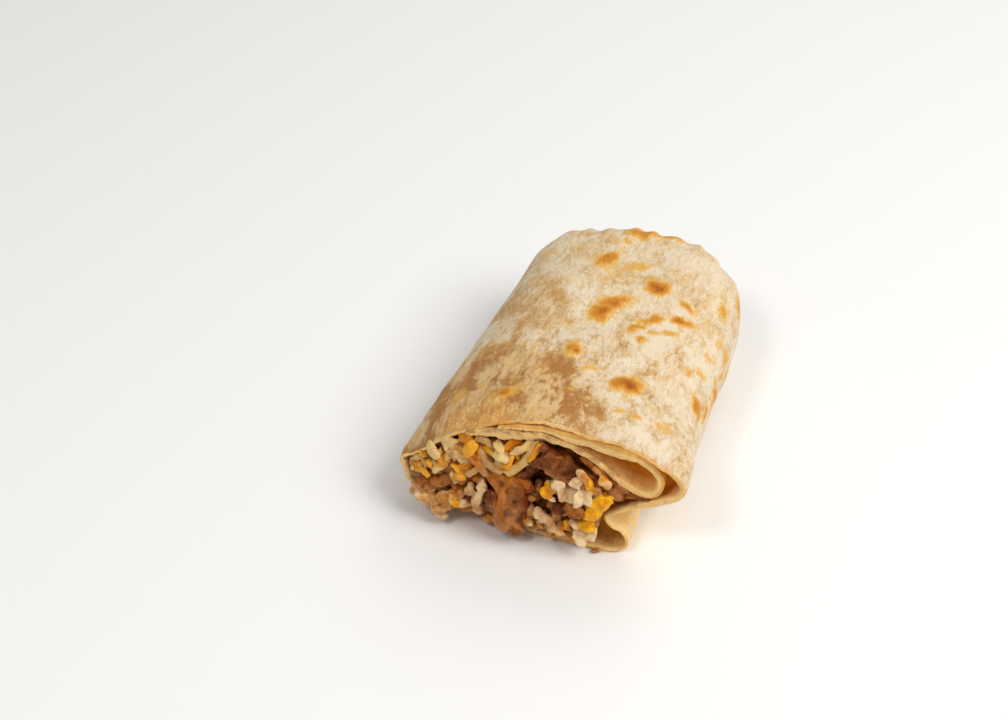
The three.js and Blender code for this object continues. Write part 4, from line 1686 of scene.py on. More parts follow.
SHREDS = {
    Kind.WHITE: (
        Shred((-36.0, 0.6, 24.6), (-30.8, -2.8, 22.8), (3.4, 2.8), (0.4, -0.9, 0.7), 0.0, 0.3, 0.5),
        Shred((-30.2, 1.0, 27.2), (-29.0, -2.9, 22.6), (2.7, 2.3), (0.9, -0.6, 0.4), 0.1, 0.5),
        Shred((-31.6, 1.6, 26.2), (-25.6, 0.0, 28.0), (3.9, 3.7), (0.0, -1.0, 0.4), 0.05, 0.35, 0.7),
        Shred((-28.6, 0.5, 27.2), (-23.8, -2.8, 24.0), (3.0, 3.0), (0.6, -0.9, 0.6), 0.25, 0.5),
        Shred((-33.0, -3.9, 18.6), (-28.2, -1.8, 22.4), (2.8, 2.4), (-0.3, -0.7, 0.3), 0.05, 0.3, 0.6),
        Shred((-39.8, 0.4, 18.0), (-37.0, -0.8, 21.0), (2.2, 2.2), (0.2, -0.3, 0.2), 0.1, 0.6),
        Shred((-37.0, -0.4, 20.4), (-34.9, -2.8, 18.0), (2.1, 2.0), (0.4, -0.4, 0.2), 0.2, 0.7),
        Shred((-21.8, 1.0, 31.6), (-15.9, -0.8, 31.2), (2.8, 2.3), (0.0, -0.7, 0.4), 0.35, 0.6),
        Shred((-15.8, 0.4, 32.6), (-11.8, -2.4, 30.8), (3.2, 2.8), (0.2, -0.9, 0.2), 0.0, 0.2, 0.6),
        Shred((-16.2, -2.0, 29.6), (-9.6, -3.4, 29.8), (2.3, 2.9), (0.0, -0.7, 0.2), 0.0, 0.0),
        Shred((-9.6, -3.2, 31.2), (-4.9, 1.2, 36.6), (2.4, 2.4), (0.6, -0.5, 0.0), 0.1, 0.35),
        Shred((-11.2, -4.8, 25.2), (-3.7, 0.4, 35.4), (2.6, 2.7), (1.3, -0.8, -0.3), 0.2, 0.55, 0.6),
        Shred((-20.4, -1.0, 29.4), (-11.4, -4.8, 25.4), (2.7, 3.0), (-0.5, -0.6, -0.8), 0.55, 0.5),
        Shred((-22.4, -4.6, 20.6), (-18.4, -3.6, 24.4), (2.4, 2.0), (-0.2, -0.5, 0.4), 0.5, 0.6),
        Shred((-27.9, -3.6, 20.6), (-25.2, -4.8, 17.6), (2.3, 2.1), (0.3, -0.4, 0.3), 0.4, 0.55),
        Shred((-33.6, -1.0, 21.6), (-30.6, -3.2, 19.6), (2.1, 2.0), (0.2, -0.4, 0.3), 0.1, 0.5),
        Shred((-19.6, -2.8, 25.4), (-16.2, -4.4, 22.0), (2.4, 2.7), (0.2, -0.5, 0.3), 0.6, 0.6),
        Shred((-25.4, -0.4, 26.2), (-22.4, -2.6, 23.6), (2.2, 2.2), (0.2, -0.3, 0.3), 0.3, 0.6),
        Shred((-14.6, -2.6, 27.8), (-10.6, -4.0, 26.8), (2.1, 2.0), (0.0, -0.4, 0.2), 0.3, 0.5),
    ),
    Kind.YELLOW: (
        Shred((-26.0, 1.4, 29.6), (-21.2, 0.2, 31.0), (3.5, 3.3), (0.0, -0.9, 0.5), 0.0, 0.75, 0.8),
        Shred((-24.2, -2.4, 26.8), (-20.6, -0.6, 31.0), (4.1, 2.9), (0.2, -0.9, 0.2), 0.0, 0.35, 0.6),
        Shred((-37.6, 0.2, 22.2), (-35.2, -1.8, 20.6), (2.3, 2.2), (0.1, -0.3, 0.2), 0.0, 0.4),
        Shred((-34.8, -1.8, 21.2), (-32.6, -3.0, 19.6), (2.2, 2.0), (0.0, -0.3, 0.1), 0.0, 0.15),
        Shred((-41.0, -0.6, 16.4), (-36.2, -2.2, 18.0), (1.8, 3.7), (0.0, -0.5, 0.3), 0.0, 0.7, 0.6),
        Shred((-37.4, -2.2, 17.4), (-33.8, -4.0, 15.8), (2.2, 1.8), (0.2, -0.5, 0.7), 0.0, 0.3, 0.7),
        Shred((-27.8, -2.8, 22.4), (-25.3, -4.3, 20.8), (1.6, 1.8), (0.8, -0.4, 0.5), 0.0, 0.2),
        Shred((-26.2, -4.2, 19.8), (-21.8, -4.4, 20.6), (3.0, 2.8), (0.0, -0.5, 0.1), 0.0, 0.5, 0.8),
        Shred((-25.6, -3.2, 21.8), (-22.4, -2.2, 23.2), (2.7, 2.4), (0.0, -0.5, 0.1), 0.1, 0.75),
        Shred((-23.4, -3.2, 21.8), (-21.0, -1.2, 25.4), (3.3, 2.8), (0.0, -0.4, 0.0), 0.3, 1.1),
        Shred((-18.6, -1.2, 29.8), (-14.6, -2.4, 29.4), (1.7, 1.8), (0.0, -0.4, 0.2), 0.0, 0.45),
        Shred((-13.2, -1.8, 30.0), (-7.6, 0.9, 34.8), (2.7, 2.7), (-0.2, -0.2, 0.3), 0.15, 1.1, 0.5),
        Shred((-10.8, -3.9, 27.6), (-8.9, -2.7, 31.2), (2.1, 1.8), (0.1, -0.4, 0.1), 0.0, 0.3, 0.8),
        Shred((-5.2, -3.8, 29.9), (-2.6, -0.4, 36.0), (2.0, 2.1), (0.5, -0.2, -0.1), 0.1, 0.55),
        Shred((-22.9, -2.0, 27.2), (-17.2, -4.2, 24.8), (2.8, 2.4), (0.1, -0.5, 0.3), 0.6, 0.9),
        Shred((-30.6, -0.6, 23.4), (-27.4, -2.4, 23.0), (2.1, 2.1), (0.0, -0.4, 0.3), 0.1, 0.8),
        Shred((-12.6, -3.4, 27.2), (-9.4, -4.2, 27.6), (1.8, 1.7), (0.0, -0.4, 0.1), 0.1, 0.6),
    ),
}


@dataclass
class Cheese:
    """The shredded cheese: shreds on show and loose ones behind them, softened where they touch."""

    roll: Roll
    loose: int = 150
    moulding: Moulding = Moulding(0.27, 4, (Relief(1.9, 0.14), Relief(0.8, 0.05)), 0.3, 10)
    region: tuple[Point, Point] = ((-39.5, -2.4, 13.0), (-4.0, 3.0, 34.0))
    shelf: tuple[float, ...] = (-40.0, -33.0, -26.0, -20.0, -5.0)
    roof: tuple[float, ...] = (18.4, 24.6, 30.0, 31.8, 34.6)
    floor: tuple[float, ...] = (14.0, 15.6, 18.6, 21.5, 28.6)

    def build(self, kind: Kind) -> bpy.types.Object:
        """Builds all shreds of one kind, joined where they touch.

        Args:
            kind: Which cheese.

        Returns:
            The piece, which carries tint, stain and hollow.
        """
        seed, share = (41, 1.0) if kind is Kind.WHITE else (42, 0.55)
        rng = np.random.default_rng(seed)
        shreds = SHREDS[kind] + tuple(self._loose(rng, int(self.loose * share)))
        mass = Mass(kind.value, seed, self.moulding, shreds=shreds, blending=0.2)
        piece, local = mass.build(self.roll, ("tint", "stain"), rng)
        x, _, z = local.T
        near_beans = ease((x + 21.0) / 14.0) * ease((27.5 - z) / 5.0) + ease((18.0 - z) / 5.0)
        stain = np.empty(len(local))
        piece.data.attributes["stain"].data.foreach_get("value", stain)
        piece.data.attributes["stain"].data.foreach_set("value", np.clip(stain + 0.4 * near_beans, 0.0, 1.0))
        return piece

    def _loose(self, rng: np.random.Generator, count: int) -> list[Shred]:
        """Shreds that fill the heap behind those on show, within the cheese's part of the section. The
        nearer the front, the smaller they are.

        Args:
            rng: Draws their places, sizes and looks.
            count: How many.

        Returns:
            The shreds.
        """
        low, high = (np.array(corner) for corner in self.region)
        found = []
        while len(found) < count:
            middle = rng.uniform(low, high)
            lowest, highest = (np.interp(middle[0], self.shelf, edge) for edge in (self.floor, self.roof))
            if not lowest < middle[2] < highest - 1.2:
                continue
            small = 0.55 if middle[1] < -0.2 else 1.0
            way = unit(rng.normal(size=3) * np.array([1.0, 0.6, 0.8])) * rng.uniform(1.6, 4.0) * small
            ends = (middle - way, middle + way)
            if any(z > np.interp(x, self.shelf, self.roof) - 0.8 or not -3.4 < y < 5.0 for x, y, z in ends):
                continue
            width = rng.uniform(1.6, 2.6) * (0.8 if small < 1.0 else 1.0)
            looks = (rng.uniform(0.0, 0.45), rng.uniform(0.1, 0.9), rng.uniform(0.5, 0.8))
            bow = tuple(rng.normal(size=3) * 0.5)
            found.append(Shred(tuple(ends[0]), tuple(ends[1]), (width, width), bow, *looks))
        return found


@dataclass
class Beans:
    """The mashed beans: a moist mass under the inner fold and down the middle, with cheese melted over it,
    and the tongue that hangs out in front. Looks are reddish skin and melted cheese."""

    roll: Roll
    moulding: Moulding = Moulding(0.33, 9, (Relief(5.0, 0.5), Relief(2.4, 0.22), Relief(1.2, 0.10)))
    slab_moulding: Moulding = Moulding(0.33, 7, (Relief(5.0, 0.4), Relief(2.2, 0.14)))
    soft_moulding: Moulding = Moulding(0.33, 20, (Relief(4.0, 0.4), Relief(1.7, 0.12)))
    under_fold: tuple[Lump, ...] = (
        Lump((0.4, -0.2, 33.0), (4.8, 3.0, 2.8), 22.0, 0.2),
        Lump((4.5, -0.4, 31.0), (5.2, 3.0, 2.4), 30.0, 0.2),
        Lump((9.5, -0.2, 28.0), (5.2, 3.0, 2.3), 34.0, 0.1),
        Lump((14.0, 0.2, 25.6), (4.6, 3.0, 2.2), 36.0, 0.0, 0.1),
        Lump((18.4, 0.2, 23.6), (4.4, 2.8, 2.0), 36.0, -0.3, 0.2),
        Lump((12.0, 0.6, 31.2), (4.0, 1.8, 1.3), 34.0, 0.2, 0.5),
        Lump((16.8, 0.4, 28.4), (4.0, 1.8, 1.4), 38.0, 0.1, 0.5),
        Lump((21.0, 0.5, 25.4), (4.2, 1.6, 1.2), 34.0, -0.3, 0.3),
        Lump((26.0, 0.8, 23.2), (4.0, 1.4, 0.9), 12.0, -0.2, 0.3),
        Lump((-2.6, 0.0, 32.6), (2.2, 2.4, 3.2), 0.0, 0.0, 0.4),
        Lump((-1.6, -1.8, 35.0), (1.2, 1.2, 1.0), 0.0, 0.0, 0.1),
    )
    slab: tuple[Shred, ...] = (
        Shred((-2.6, -2.3, 32.4), (10.0, -2.0, 27.0), (7.4, 4.6), (0.0, -0.6, 0.9), 0.0, 0.15, 0.5),
        Shred((4.0, -2.2, 29.8), (16.6, -0.8, 24.8), (5.2, 3.4), (0.0, -0.6, 0.5), 0.2, -0.1, 0.5),
        Shred((-0.6, -3.2, 29.0), (12.0, -2.8, 26.0), (2.2, 2.4), (0.0, -0.5, -0.4), 0.15, -0.6, 0.9),
    )
    middle: tuple[Lump, ...] = (
        Lump((-4.8, -0.6, 28.0), (2.6, 3.2, 4.4), 20.0, 0.1, 0.3),
        Lump((-6.8, -2.0, 24.4), (2.8, 3.0, 3.2), 10.0, 0.2, 0.4),
        Lump((-3.4, -1.4, 17.4), (2.4, 2.4, 3.0), 0.0, 0.1),
        Lump((-2.0, -2.2, 21.6), (1.6, 2.0, 1.6), 0.0, 0.1, 0.3),
    )
    melted: tuple[Lump, ...] = (
        Lump((-10.6, -2.8, 23.2), (4.0, 2.6, 3.0), 10.0, 0.0, 0.9),
        Lump((-14.6, -3.0, 20.8), (3.6, 2.4, 2.8), 20.0, 0.0, 0.8),
        Lump((-9.0, -2.4, 26.2), (3.2, 2.2, 2.2), -30.0, 0.0, 1.0),
        Lump((-13.2, -3.6, 24.4), (3.4, 1.5, 1.5), 30.0, 0.0, 1.0),
        Lump((-17.4, -2.4, 24.2), (2.8, 2.2, 2.0), 10.0, 0.0, 0.8),
        Lump((-19.8, -2.2, 27.0), (2.8, 1.6, 1.4), 35.0, 0.0, 1.0),
        Lump((-22.6, -1.2, 23.4), (2.6, 2.4, 1.6), 0.0, 0.0, 0.9),
        Lump((-19.6, -2.9, 19.6), (2.6, 2.0, 2.8), -10.0, 0.1, 0.8),
        Lump((-23.6, -2.6, 17.4), (2.6, 2.0, 2.4), 0.0, 0.1, 0.7),
        Lump((-6.0, -3.8, 22.6), (2.4, 1.6, 1.8), 20.0, 0.3, 0.6),
    )
    tongue: tuple[Lump, ...] = (
        Lump((-10.0, -3.6, 19.6), (4.6, 3.2, 3.8), 0.0, -0.7, 0.5),
        Lump((-9.6, -4.6, 15.2), (4.6, 3.4, 5.0), -4.0, -0.5, 0.25),
        Lump((-9.8, -4.6, 9.6), (4.8, 3.4, 5.4), 0.0, -0.9, 0.2),
        Lump((-11.4, -4.8, 8.4), (3.4, 3.0, 3.8), 20.0, -0.9, 0.3),
        Lump((-8.8, -4.8, 6.4), (3.8, 3.0, 3.2), 0.0, 0.1, 0.1),
        Lump((-6.3, -4.0, 16.6), (2.2, 2.6, 4.6), -6.0, 0.9),
        Lump((-6.2, -4.0, 11.2), (2.2, 2.6, 4.2), 0.0, 0.8),
        Lump((-12.0, -6.4, 15.4), (1.8, 1.8, 5.8), 6.0, -0.2, 1.3),
        Lump((-11.4, -6.8, 11.2), (1.6, 1.5, 3.4), 0.0, -0.3, 1.1),
        Lump((-15.0, -4.2, 14.4), (2.9, 2.6, 3.4), 20.0, 0.0, 0.1),
        Lump((-14.0, -1.4, 12.0), (5.0, 3.0, 6.0), 0.0, 0.3),
    )
    on_sheet: tuple[Lump, ...] = (
        Lump((21.0, 2.4, 21.8), (5.4, 2.2, 2.2), 18.0, 0.0, 1.1),
        Lump((26.0, 2.8, 21.8), (4.4, 1.6, 1.4), 4.0, 0.0, 1.1),
    )
    left: tuple[Lump, ...] = (
        Lump((-22.8, -2.9, 13.4), (2.2, 2.2, 3.6), -8.0, 0.3, 0.35),
        Lump((-29.0, -2.0, 15.8), (3.4, 2.3, 2.0), -15.0, -0.5, 0.5),
        Lump((-26.0, -2.2, 14.2), (2.8, 2.2, 2.0), 0.0, -0.1, 0.4),
        Lump((-31.8, -2.6, 14.0), (4.0, 2.2, 1.8), -14.0, -0.5, 0.5),
        Lump((-35.4, -2.4, 12.8), (4.0, 2.6, 2.0), -8.0, -0.5, 0.5),
        Lump((-26.0, 0.4, 10.6), (8.0, 3.2, 4.4), 0.0, 0.3, 0.3),
        Lump((-33.5, 0.6, 9.0), (5.0, 3.0, 4.2), 0.0, 0.3, 0.3),
        Lump((-16.0, 0.6, 9.0), (6.0, 3.0, 5.0), 0.0, 0.3),
        Lump((-4.0, 0.8, 10.5), (6.0, 3.0, 5.0), 0.0, 0.3, 0.2),
        Lump((5.0, 0.4, 11.0), (7.0, 3.0, 6.0), 0.0, 0.3, 0.3),
        Lump((9.0, 0.8, 16.5), (6.0, 3.0, 6.5), 0.0, 0.3, 0.3),
    )
    whole: tuple[Lump, ...] = (
        Lump((9.0, -4.6, 17.6), (3.4, 2.1, 2.6), 12.0, 0.0, 0.5),
        Lump((3.3, -4.0, 16.6), (2.1, 1.6, 3.1), -28.0, 0.45, 0.4),
        Lump((-4.4, -4.6, 21.4), (2.4, 1.2, 1.6), -24.0, 0.9, 0.1),
    )

    def build(self) -> list[bpy.types.Object]:
        """Builds the mash, the slab under the fold, the smooth melted part with the tongue, and the beans
        left whole.

        Returns:
            The four pieces.
        """
        looks = ("skin", "melt")
        mash = Mass("bean_mash", 51, self.moulding, self.middle + self.left)
        slab = Mass("bean_slab", 52, self.slab_moulding, self.under_fold, Grain(7, 4.0, 0.08, 4.0), self.slab)
        soft = self.melted + self.tongue + self.on_sheet
        melted = Mass("bean_and_cheese_melt", 54, self.soft_moulding, soft, Grain(7, 5.0, 0.08, 4.0))
        beans = Mass("whole_beans", 53, self.soft_moulding, self.whole, Grain(6, 5.0, 0.06, 2.5))
        return [mass.build(self.roll, looks)[0] for mass in (mash, slab, melted, beans)]


@dataclass
class Egg:
    """The scrambled egg: curds of white and yolk along the bottom of the cut. Looks are yolk and a film of
    beans."""

    roll: Roll
    moulding: Moulding = Moulding(0.29, 6, (Relief(3.0, 0.3), Relief(1.5, 0.14), Relief(0.8, 0.05)), 0.45)
    flake_moulding: Moulding = Moulding(0.27, 6, (Relief(3.0, 0.25), Relief(1.4, 0.08)), 0.5)
    right: tuple[Lump, ...] = (
        Lump((1.9, -2.8, 22.4), (2.2, 1.6, 2.8), -18.0, 0.6, 0.5),
        Lump((3.8, -2.6, 24.4), (2.0, 1.3, 1.8), 20.0, 0.0, 0.5),
        Lump((5.2, -2.6, 22.2), (2.6, 1.3, 2.6), 15.0, 0.1, 0.7),
        Lump((7.9, -2.8, 22.0), (3.0, 1.4, 2.6), -20.0, 0.0, 0.6),
        Lump((10.8, -2.8, 22.8), (2.6, 1.3, 3.0), -15.0, 0.0, 0.4),
        Lump((8.0, -1.8, 24.4), (6.4, 1.6, 2.2), 20.0, 0.1, 0.9),
        Lump((12.2, -2.0, 19.4), (4.0, 1.6, 3.4), 0.0, 0.4, 0.9),
        Lump((10.6, -2.9, 29.2), (2.4, 1.3, 1.6), 30.0, 0.4, 0.7),
        Lump((9.2, -3.3, 27.8), (1.8, 1.1, 1.2), 10.0, 0.1, 0.4),
        Lump((12.3, -3.1, 27.0), (1.5, 1.2, 2.2), -20.0, 0.95, 0.2),
        Lump((11.6, -2.9, 28.2), (1.5, 1.1, 1.6), 10.0, 0.6, 0.4),
        Lump((16.3, -1.8, 28.0), (2.3, 1.3, 1.8), 20.0, 0.6, 0.4),
        Lump((17.2, -1.8, 27.0), (1.6, 1.2, 1.8), -20.0, 0.5, 0.5),
        Lump((13.9, -0.6, 30.2), (2.2, 0.9, 1.0), 30.0, 0.4, 0.9),
        Lump((13.8, -2.0, 24.6), (2.2, 1.2, 2.0), 0.0, 0.2, 0.9),
        Lump((15.4, -2.4, 20.6), (3.2, 1.9, 2.6), -20.0, 1.1, 0.1),
        Lump((18.0, -1.3, 23.0), (2.8, 1.6, 1.8), -24.0, 1.0, 0.3),
        Lump((14.2, -2.7, 17.0), (2.6, 1.8, 3.2), 10.0, 1.1, 0.0),
        Lump((12.0, -3.0, 12.6), (2.8, 1.7, 2.3), 0.0, 0.95, 0.1),
        Lump((8.9, -3.2, 11.2), (2.2, 1.5, 1.5), 20.0, 0.25, 0.3),
        Lump((11.2, -2.6, 8.0), (2.6, 1.6, 2.2), 0.0, 0.1, 0.1),
    )
    flakes: tuple[Shred, ...] = (
        Shred((1.9, -4.1, 26.0), (5.4, -3.6, 23.8), (3.0, 3.4), (0.0, -0.4, 0.4), 0.1, 0.0, 0.4),
        Shred((0.4, -4.2, 24.4), (1.4, -4.6, 19.6), (3.0, 3.6), (-0.3, -0.4, 0.0), 0.2, 0.9, 0.4),
        Shred((1.2, -4.7, 20.2), (4.0, -4.4, 19.8), (1.8, 1.6), (0.0, -0.3, -0.3), -0.1, 0.1, 0.5),
        Shred((4.6, -3.6, 24.8), (5.8, -4.2, 19.6), (3.4, 3.4), (0.4, -0.4, 0.0), 0.45, 0.0, 0.3),
        Shred((7.6, -3.4, 23.6), (7.6, -4.3, 18.8), (3.4, 3.2), (0.3, -0.4, 0.0), 0.4, 0.0, 0.3),
        Shred((9.5, -3.8, 25.4), (10.4, -4.6, 19.4), (3.4, 4.2), (0.2, -0.5, 0.0), 0.0, 0.0, 0.3),
        Shred((12.5, -3.4, 24.8), (12.2, -4.2, 20.2), (3.0, 3.4), (0.2, -0.4, 0.0), 0.2, 0.0, 0.3),
        Shred((7.0, -3.9, 27.4), (10.6, -3.9, 26.0), (2.0, 2.6), (0.0, -0.2, 0.2), 0.3, 0.0, 0.5),
        Shred((8.4, -4.4, 8.8), (12.8, -4.5, 6.0), (2.8, 3.6), (0.0, -0.4, -0.3), -0.1, 0.0, 0.5),
        Shred((13.0, -4.3, 6.8), (14.9, -3.6, 12.8), (3.2, 2.4), (0.4, -0.4, 0.0), -0.1, 0.1, 0.5),
        Shred((10.4, -4.7, 12.2), (14.6, -4.3, 13.2), (3.6, 4.6), (0.0, -0.4, 0.3), 0.0, 1.1, 0.4),
        Shred((13.2, -4.2, 14.4), (14.6, -4.0, 20.4), (5.0, 5.2), (0.3, -0.4, 0.0), 0.0, 1.1, 0.3),
        Shred((13.8, -3.9, 19.4), (19.0, -2.6, 23.4), (5.0, 3.4), (0.0, -0.4, 0.3), 0.0, 1.1, 0.3),
        Shred((5.6, -4.4, 13.6), (7.0, -4.3, 9.6), (1.8, 1.5), (0.3, -0.4, 0.0), 0.2, 0.95, 0.6),
    )
    bottom: tuple[Lump, ...] = (
        Lump((-0.6, -4.4, 12.4), (3.3, 1.6, 1.7), 40.0, 0.2, 0.55),
        Lump((1.6, -3.8, 10.2), (2.2, 1.4, 1.5), 40.0, 0.2, 0.6),
        Lump((2.2, -4.2, 8.4), (1.7, 1.4, 1.7), 10.0, 0.3, 0.6),
        Lump((4.6, -3.8, 7.4), (1.6, 1.2, 1.2), 0.0, 0.7, 0.45),
        Lump((6.2, -3.4, 6.2), (2.0, 1.3, 1.0), 0.0, 0.3, 0.95),
        Lump((6.4, -3.4, 9.6), (1.4, 1.2, 1.6), -18.0, 0.6, 0.5),
        Lump((-4.6, -4.2, 8.8), (1.6, 1.3, 1.3), 0.0, 0.5, 0.45),
        Lump((-3.5, -2.8, 16.8), (2.0, 1.6, 1.7), 0.0, 0.3, 0.9),
        Lump((-4.4, -3.4, 12.4), (1.6, 1.3, 2.0), 0.0, 0.2, 0.9),
        Lump((8.3, -3.0, 4.6), (2.4, 0.9, 0.8), 35.0, 0.7, 0.4),
        Lump((14.6, -1.9, 1.0), (1.5, 0.7, 0.6), -35.0, 0.4, 1.1),
        Lump((15.4, -1.7, 1.5), (0.7, 0.6, 0.6), 0.0, 0.4, 1.1),
    )
    left: tuple[Lump, ...] = (
        Lump((-38.4, -3.2, 9.0), (2.2, 1.6, 1.7), 20.0, 0.2, 0.8),
        Lump((-35.6, -4.0, 8.6), (3.4, 1.8, 1.6), 28.0, 0.45, 0.3),
        Lump((-37.0, -2.8, 11.4), (2.6, 1.6, 1.6), 0.0, 0.1, 0.9),
        Lump((-34.0, -3.8, 6.8), (3.2, 2.2, 2.2), 34.0, 0.3, 0.6),
        Lump((-32.6, -4.4, 8.8), (2.4, 1.8, 1.8), 10.0, 0.3, 0.75),
        Lump((-31.2, -4.8, 6.2), (2.5, 2.1, 2.4), 20.0, 0.3, 0.7),
        Lump((-30.0, -5.0, 3.9), (1.9, 1.8, 2.0), 0.0, 0.2, 0.55),
        Lump((-33.4, -3.0, 11.6), (2.4, 1.6, 1.6), 0.0, 0.1, 1.0),
        Lump((-29.6, -4.2, 10.6), (2.4, 1.8, 2.0), 0.0, 0.3, 0.9),
        Lump((-28.0, -4.4, 8.0), (2.2, 1.7, 1.8), 0.0, 0.2, 0.85),
        Lump((-26.6, -4.2, 11.4), (2.8, 1.8, 2.0), 15.0, 0.6, 0.55),
        Lump((-25.4, -4.8, 9.9), (1.7, 1.4, 1.3), 0.0, 0.85, 0.2),
        Lump((-22.9, -4.5, 9.9), (2.0, 1.6, 1.5), 0.0, 0.1, 0.7),
        Lump((-24.6, -3.8, 13.4), (1.6, 1.4, 1.6), 0.0, 0.2, 0.9),
        Lump((-18.8, -5.0, 14.4), (2.0, 1.5, 3.4), 12.0, 0.1, 0.5),
        Lump((-18.2, -4.6, 18.6), (2.0, 1.4, 2.5), -8.0, 0.0, 0.5),
        Lump((-21.6, -4.2, 16.4), (1.9, 1.4, 2.8), -5.0, 0.0, 0.7),
        Lump((-19.4, -4.4, 11.0), (1.8, 1.5, 1.6), 0.0, 0.1, 0.85),
    )
    fill: int = 60
    shelf: tuple[float, ...] = (-40.0, -30.0, -20.0, -10.0, -3.0, 5.0, 14.0)
    roof: tuple[float, ...] = (9.0, 11.0, 8.0, 8.0, 12.0, 18.0, 20.0)

    def build(self) -> list[bpy.types.Object]:
        """Builds the curds, those on show, smaller ones over them and others behind, and the smooth flakes
        at the right.

        Returns:
            The two pieces.
        """
        rng = np.random.default_rng(61)
        shown = self.bottom + self.left
        lumps = list(shown)
        for lump in self.bottom:
            lumps += lump.around(rng, 4)
        for lump in self.left:
            lumps += lump.around(rng, 2)
        known = len(lumps)
        while len(lumps) < known + self.fill:
            x, z = rng.uniform(-38.0, 13.0), rng.uniform(3.5, 17.0)
            if z < np.interp(x, self.shelf, self.roof) and not -15.5 < x < -6.0:
                radii = rng.uniform(1.0, 1.9) * rng.uniform(0.7, 1.3, 3)
                looks = rng.uniform((0.0, 0.6), (0.8, 1.0))
                at = (x, rng.uniform(-2.8, -0.6), z)
                lumps.append(Lump(at, tuple(radii), rng.uniform(-60.0, 60.0), *looks))
        curds = Mass("egg_curds", 62, self.moulding, lumps, Grain(9, 8.0, 0.2, 1.6))
        chunky = Grain(8, 6.0, 0.1, 2.4)
        flakes = Mass("egg_flakes", 64, self.flake_moulding, self.right, chunky, self.flakes, 0.45, 0.4)
        return [mass.build(self.roll, ("yolk", "film"))[0] for mass in (curds, flakes)]


# -------------------- studio


@dataclass(frozen=True)
class Light:
    """A soft square light: where it is seen from the burrito, how far and wide, and how strong."""

    name: str
    azimuth: float
    elevation: float
    distance: float
    width: float
    watts: float
    colour: Point = (1.0, 1.0, 1.0)

    def make(self, target: Vector) -> None:
        """Hangs the light.

        Args:
            target: What it is turned to.
        """
        lamp = bpy.data.lights.new(self.name, "AREA")
        lamp.energy = self.watts
        lamp.size = self.width
        lamp.color = self.colour
        holder = bpy.data.objects.new(self.name, lamp)
        way = direction(self.azimuth, self.elevation)
        holder.location = target + way * self.distance
        holder.rotation_euler = way.to_track_quat("Z", "Y").to_euler()
        bpy.context.scene.collection.objects.link(holder)


def direction(azimuth: float, elevation: float) -> Vector:
    """The way from the object to a viewer: azimuth 0 is in front of the cut, and 90 is on the +x side."""
    a, e = math.radians(azimuth), math.radians(elevation)
    return Vector((math.sin(a) * math.cos(e), -math.cos(a) * math.cos(e), math.sin(e)))


@dataclass
class Studio:
    """The pale floor, the soft lights and the camera."""

    roll: Roll
    azimuth: float = 19.0
    elevation: float = 40.0
    distance: float = 0.550
    lens: float = 70.0
    aim: Point = (-21.25, 23.78, 40.53)
    lights: tuple[Light, ...] = (
        Light("key", 80.0, 50.0, 1.1, 0.6, 7.4, (1.0, 0.985, 0.96)),
        Light("front_fill", -22.0, 54.0, 1.1, 0.24, 2.6, (1.0, 0.985, 0.96)),
        Light("back_rim", 165.0, 46.0, 1.2, 0.7, 3.0, (1.0, 0.99, 0.97)),
    )

    def build(self) -> None:
        """Sets out the floor, the world, the lights and the camera."""
        self._floor()
        self._world()
        target = Vector(self.roll.place(np.array([0.0, 45.0, 18.0])))
        for light in self.lights:
            light.make(target)
        self._camera()
        view = bpy.context.scene.view_settings
        view.view_transform = "Standard"
        view.look = "Medium High Contrast"
        view.exposure = -0.32

    def _floor(self) -> None:
        """A pale floor, just under the burrito."""
        corners = 3.0 * np.array([[-1, -1, 0], [1, -1, 0], [1, 1, 0], [-1, 1, 0]], float)
        mesh = mesh_of("floor", corners, [np.array([[0, 1, 2, 3]])])
        floor = bpy.data.objects.new("floor", mesh)
        bpy.context.scene.collection.objects.link(floor)
        n = Nodes("pale_floor")
        n.set(Base_Color=(0.93, 0.93, 0.93, 1.0), Roughness=0.8, Specular_IOR_Level=0.2)
        mesh.materials.append(n.material)

    def _world(self) -> None:
        """Even white light from all round."""
        world = bpy.data.worlds.new("studio")
        bpy.context.scene.world = world
        world.use_nodes = True
        background = world.node_tree.nodes["Background"]
        background.inputs["Color"].default_value = (1.0, 0.995, 0.985, 1.0)
        background.inputs["Strength"].default_value = 0.36

    def _camera(self) -> None:
        """The camera, a long lens from the front right and above."""
        data = bpy.data.cameras.new("camera")
        data.lens = self.lens
        data.sensor_width = 36.0
        camera = bpy.data.objects.new("camera", data)
        way = direction(self.azimuth, self.elevation)
        camera.location = Vector(self.roll.place(np.array(self.aim))) + way * self.distance
        camera.rotation_euler = way.to_track_quat("Z", "Y").to_euler()
        bpy.context.scene.collection.objects.link(camera)
        bpy.context.scene.camera = camera


# -------------------- main


def build_tortilla(roll: Roll) -> None:
    """Builds and dresses the tortilla.

    Args:
        roll: Its form.
    """
    material = TortillaFinish().make()
    for part in (Wrap(roll), InnerFold(roll)):
        piece = part.build()
        finish(piece, material, Slot.TORTILLA, "tortilla")
        report(piece)


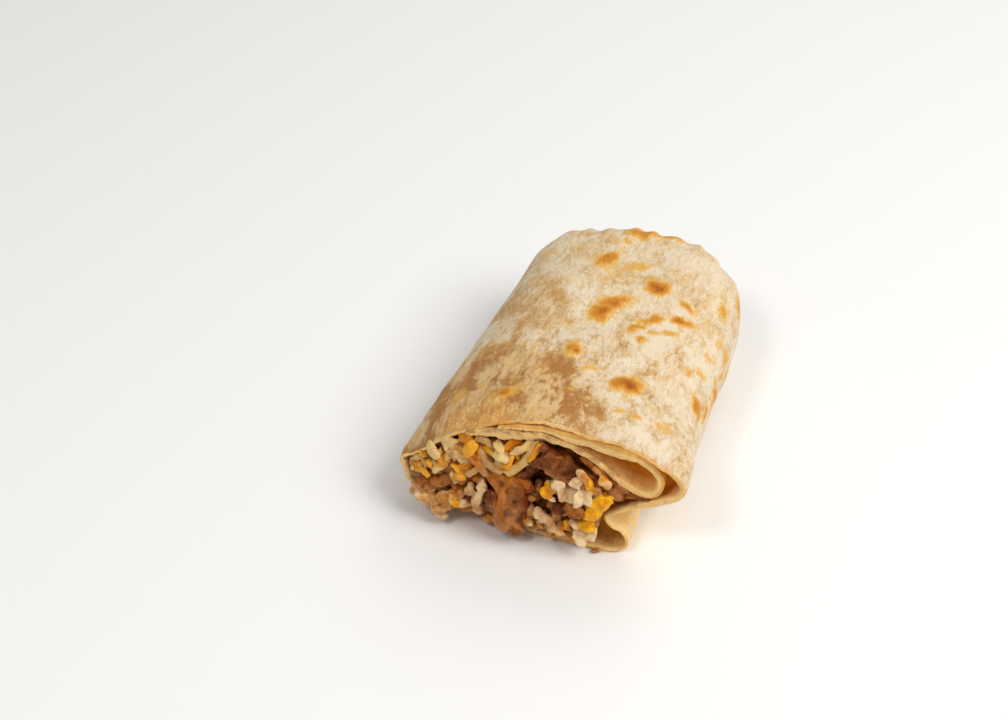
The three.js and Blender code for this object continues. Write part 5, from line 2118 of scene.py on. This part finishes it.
def build_cheese(roll: Roll) -> None:
    """Builds and dresses the shredded cheese over its core.

    Args:
        roll: The form that it fills.
    """
    outline = ((-40.6, 12.0), (-38.6, 18.0), (-32.5, 24.0), (-26.0, 29.0), (-20.0, 31.0), (-8.0, 32.4))
    outline += ((-4.4, 32.0), (-7.0, 25.8), (-13.6, 18.6), (-23.0, 12.2), (-30.5, 9.6), (-37.0, 10.4))
    core = Layer("cheese_core", outline, front=-1.0).build(roll)
    finish(core, CheeseFinish("cheese_heart", (190, 130, 60), (150, 94, 36)).make(), Slot.CHEESE, "cheese")
    report(core)
    heap = Cheese(roll)
    finishes = {
        Kind.WHITE: CheeseFinish("white_cheese", (232, 204, 144), (212, 168, 100)),
        Kind.YELLOW: CheeseFinish("yellow_cheese", (240, 182, 52), (220, 142, 14)),
    }
    for kind, look in finishes.items():
        piece = heap.build(kind)
        finish(piece, look.make(), Slot.CHEESE, "cheese")
        report(piece)


def build_beans(roll: Roll) -> None:
    """Builds and dresses the beans over their core.

    Args:
        roll: The form that it fills.
    """
    material = BeanFinish().make()
    outline = ((-20.0, 8.0), (-12.0, 7.0), (-3.5, 13.0), (5.0, 20.0), (14.5, 21.6), (21.0, 19.2))
    outline += ((25.8, 21.8), (22.6, 24.0), (17.0, 28.4), (12.0, 31.4), (6.0, 33.6), (-1.0, 34.6))
    outline += ((-4.4, 27.0), (-12.0, 17.6))
    core = Layer("bean_core", outline, front=2.5).build(roll)
    finish(core, material, Slot.BEANS, "beans")
    report(core)
    for piece in Beans(roll).build():
        finish(piece, material, Slot.BEANS, "beans")
        report(piece)


def build_egg(roll: Roll) -> None:
    """Builds and dresses the egg over its core.

    Args:
        roll: The form that it fills.
    """
    outline = ((-38.8, 6.0), (-34.0, 3.4), (-24.0, 2.6), (-10.0, 2.6), (8.0, 2.6), (13.0, 4.6), (15.0, 12.0))
    outline += ((14.0, 18.6), (5.0, 17.2), (-3.5, 10.2), (-10.5, 4.8), (-18.5, 5.4), (-23.5, 9.4))
    outline += ((-30.5, 8.0), (-38.0, 9.4))
    core = Layer("egg_core", outline, front=0.5).build(roll)
    finish(core, EggFinish("egg_heart", (176, 126, 70), (160, 100, 34)).make(), Slot.EGG, "egg")
    report(core)
    material = EggFinish("scrambled_egg", (240, 217, 178), (244, 186, 10)).make()
    for piece in Egg(roll).build():
        finish(piece, material, Slot.EGG, "egg")
        report(piece)


def main() -> None:
    """Builds the burrito piece by piece, then the studio."""
    logging.basicConfig(level=logging.INFO, format="%(message)s")
    roll = Roll()
    build_tortilla(roll)
    build_cheese(roll)
    build_beans(roll)
    build_egg(roll)
    Studio(roll).build()


if __name__ == "__main__":
    main()
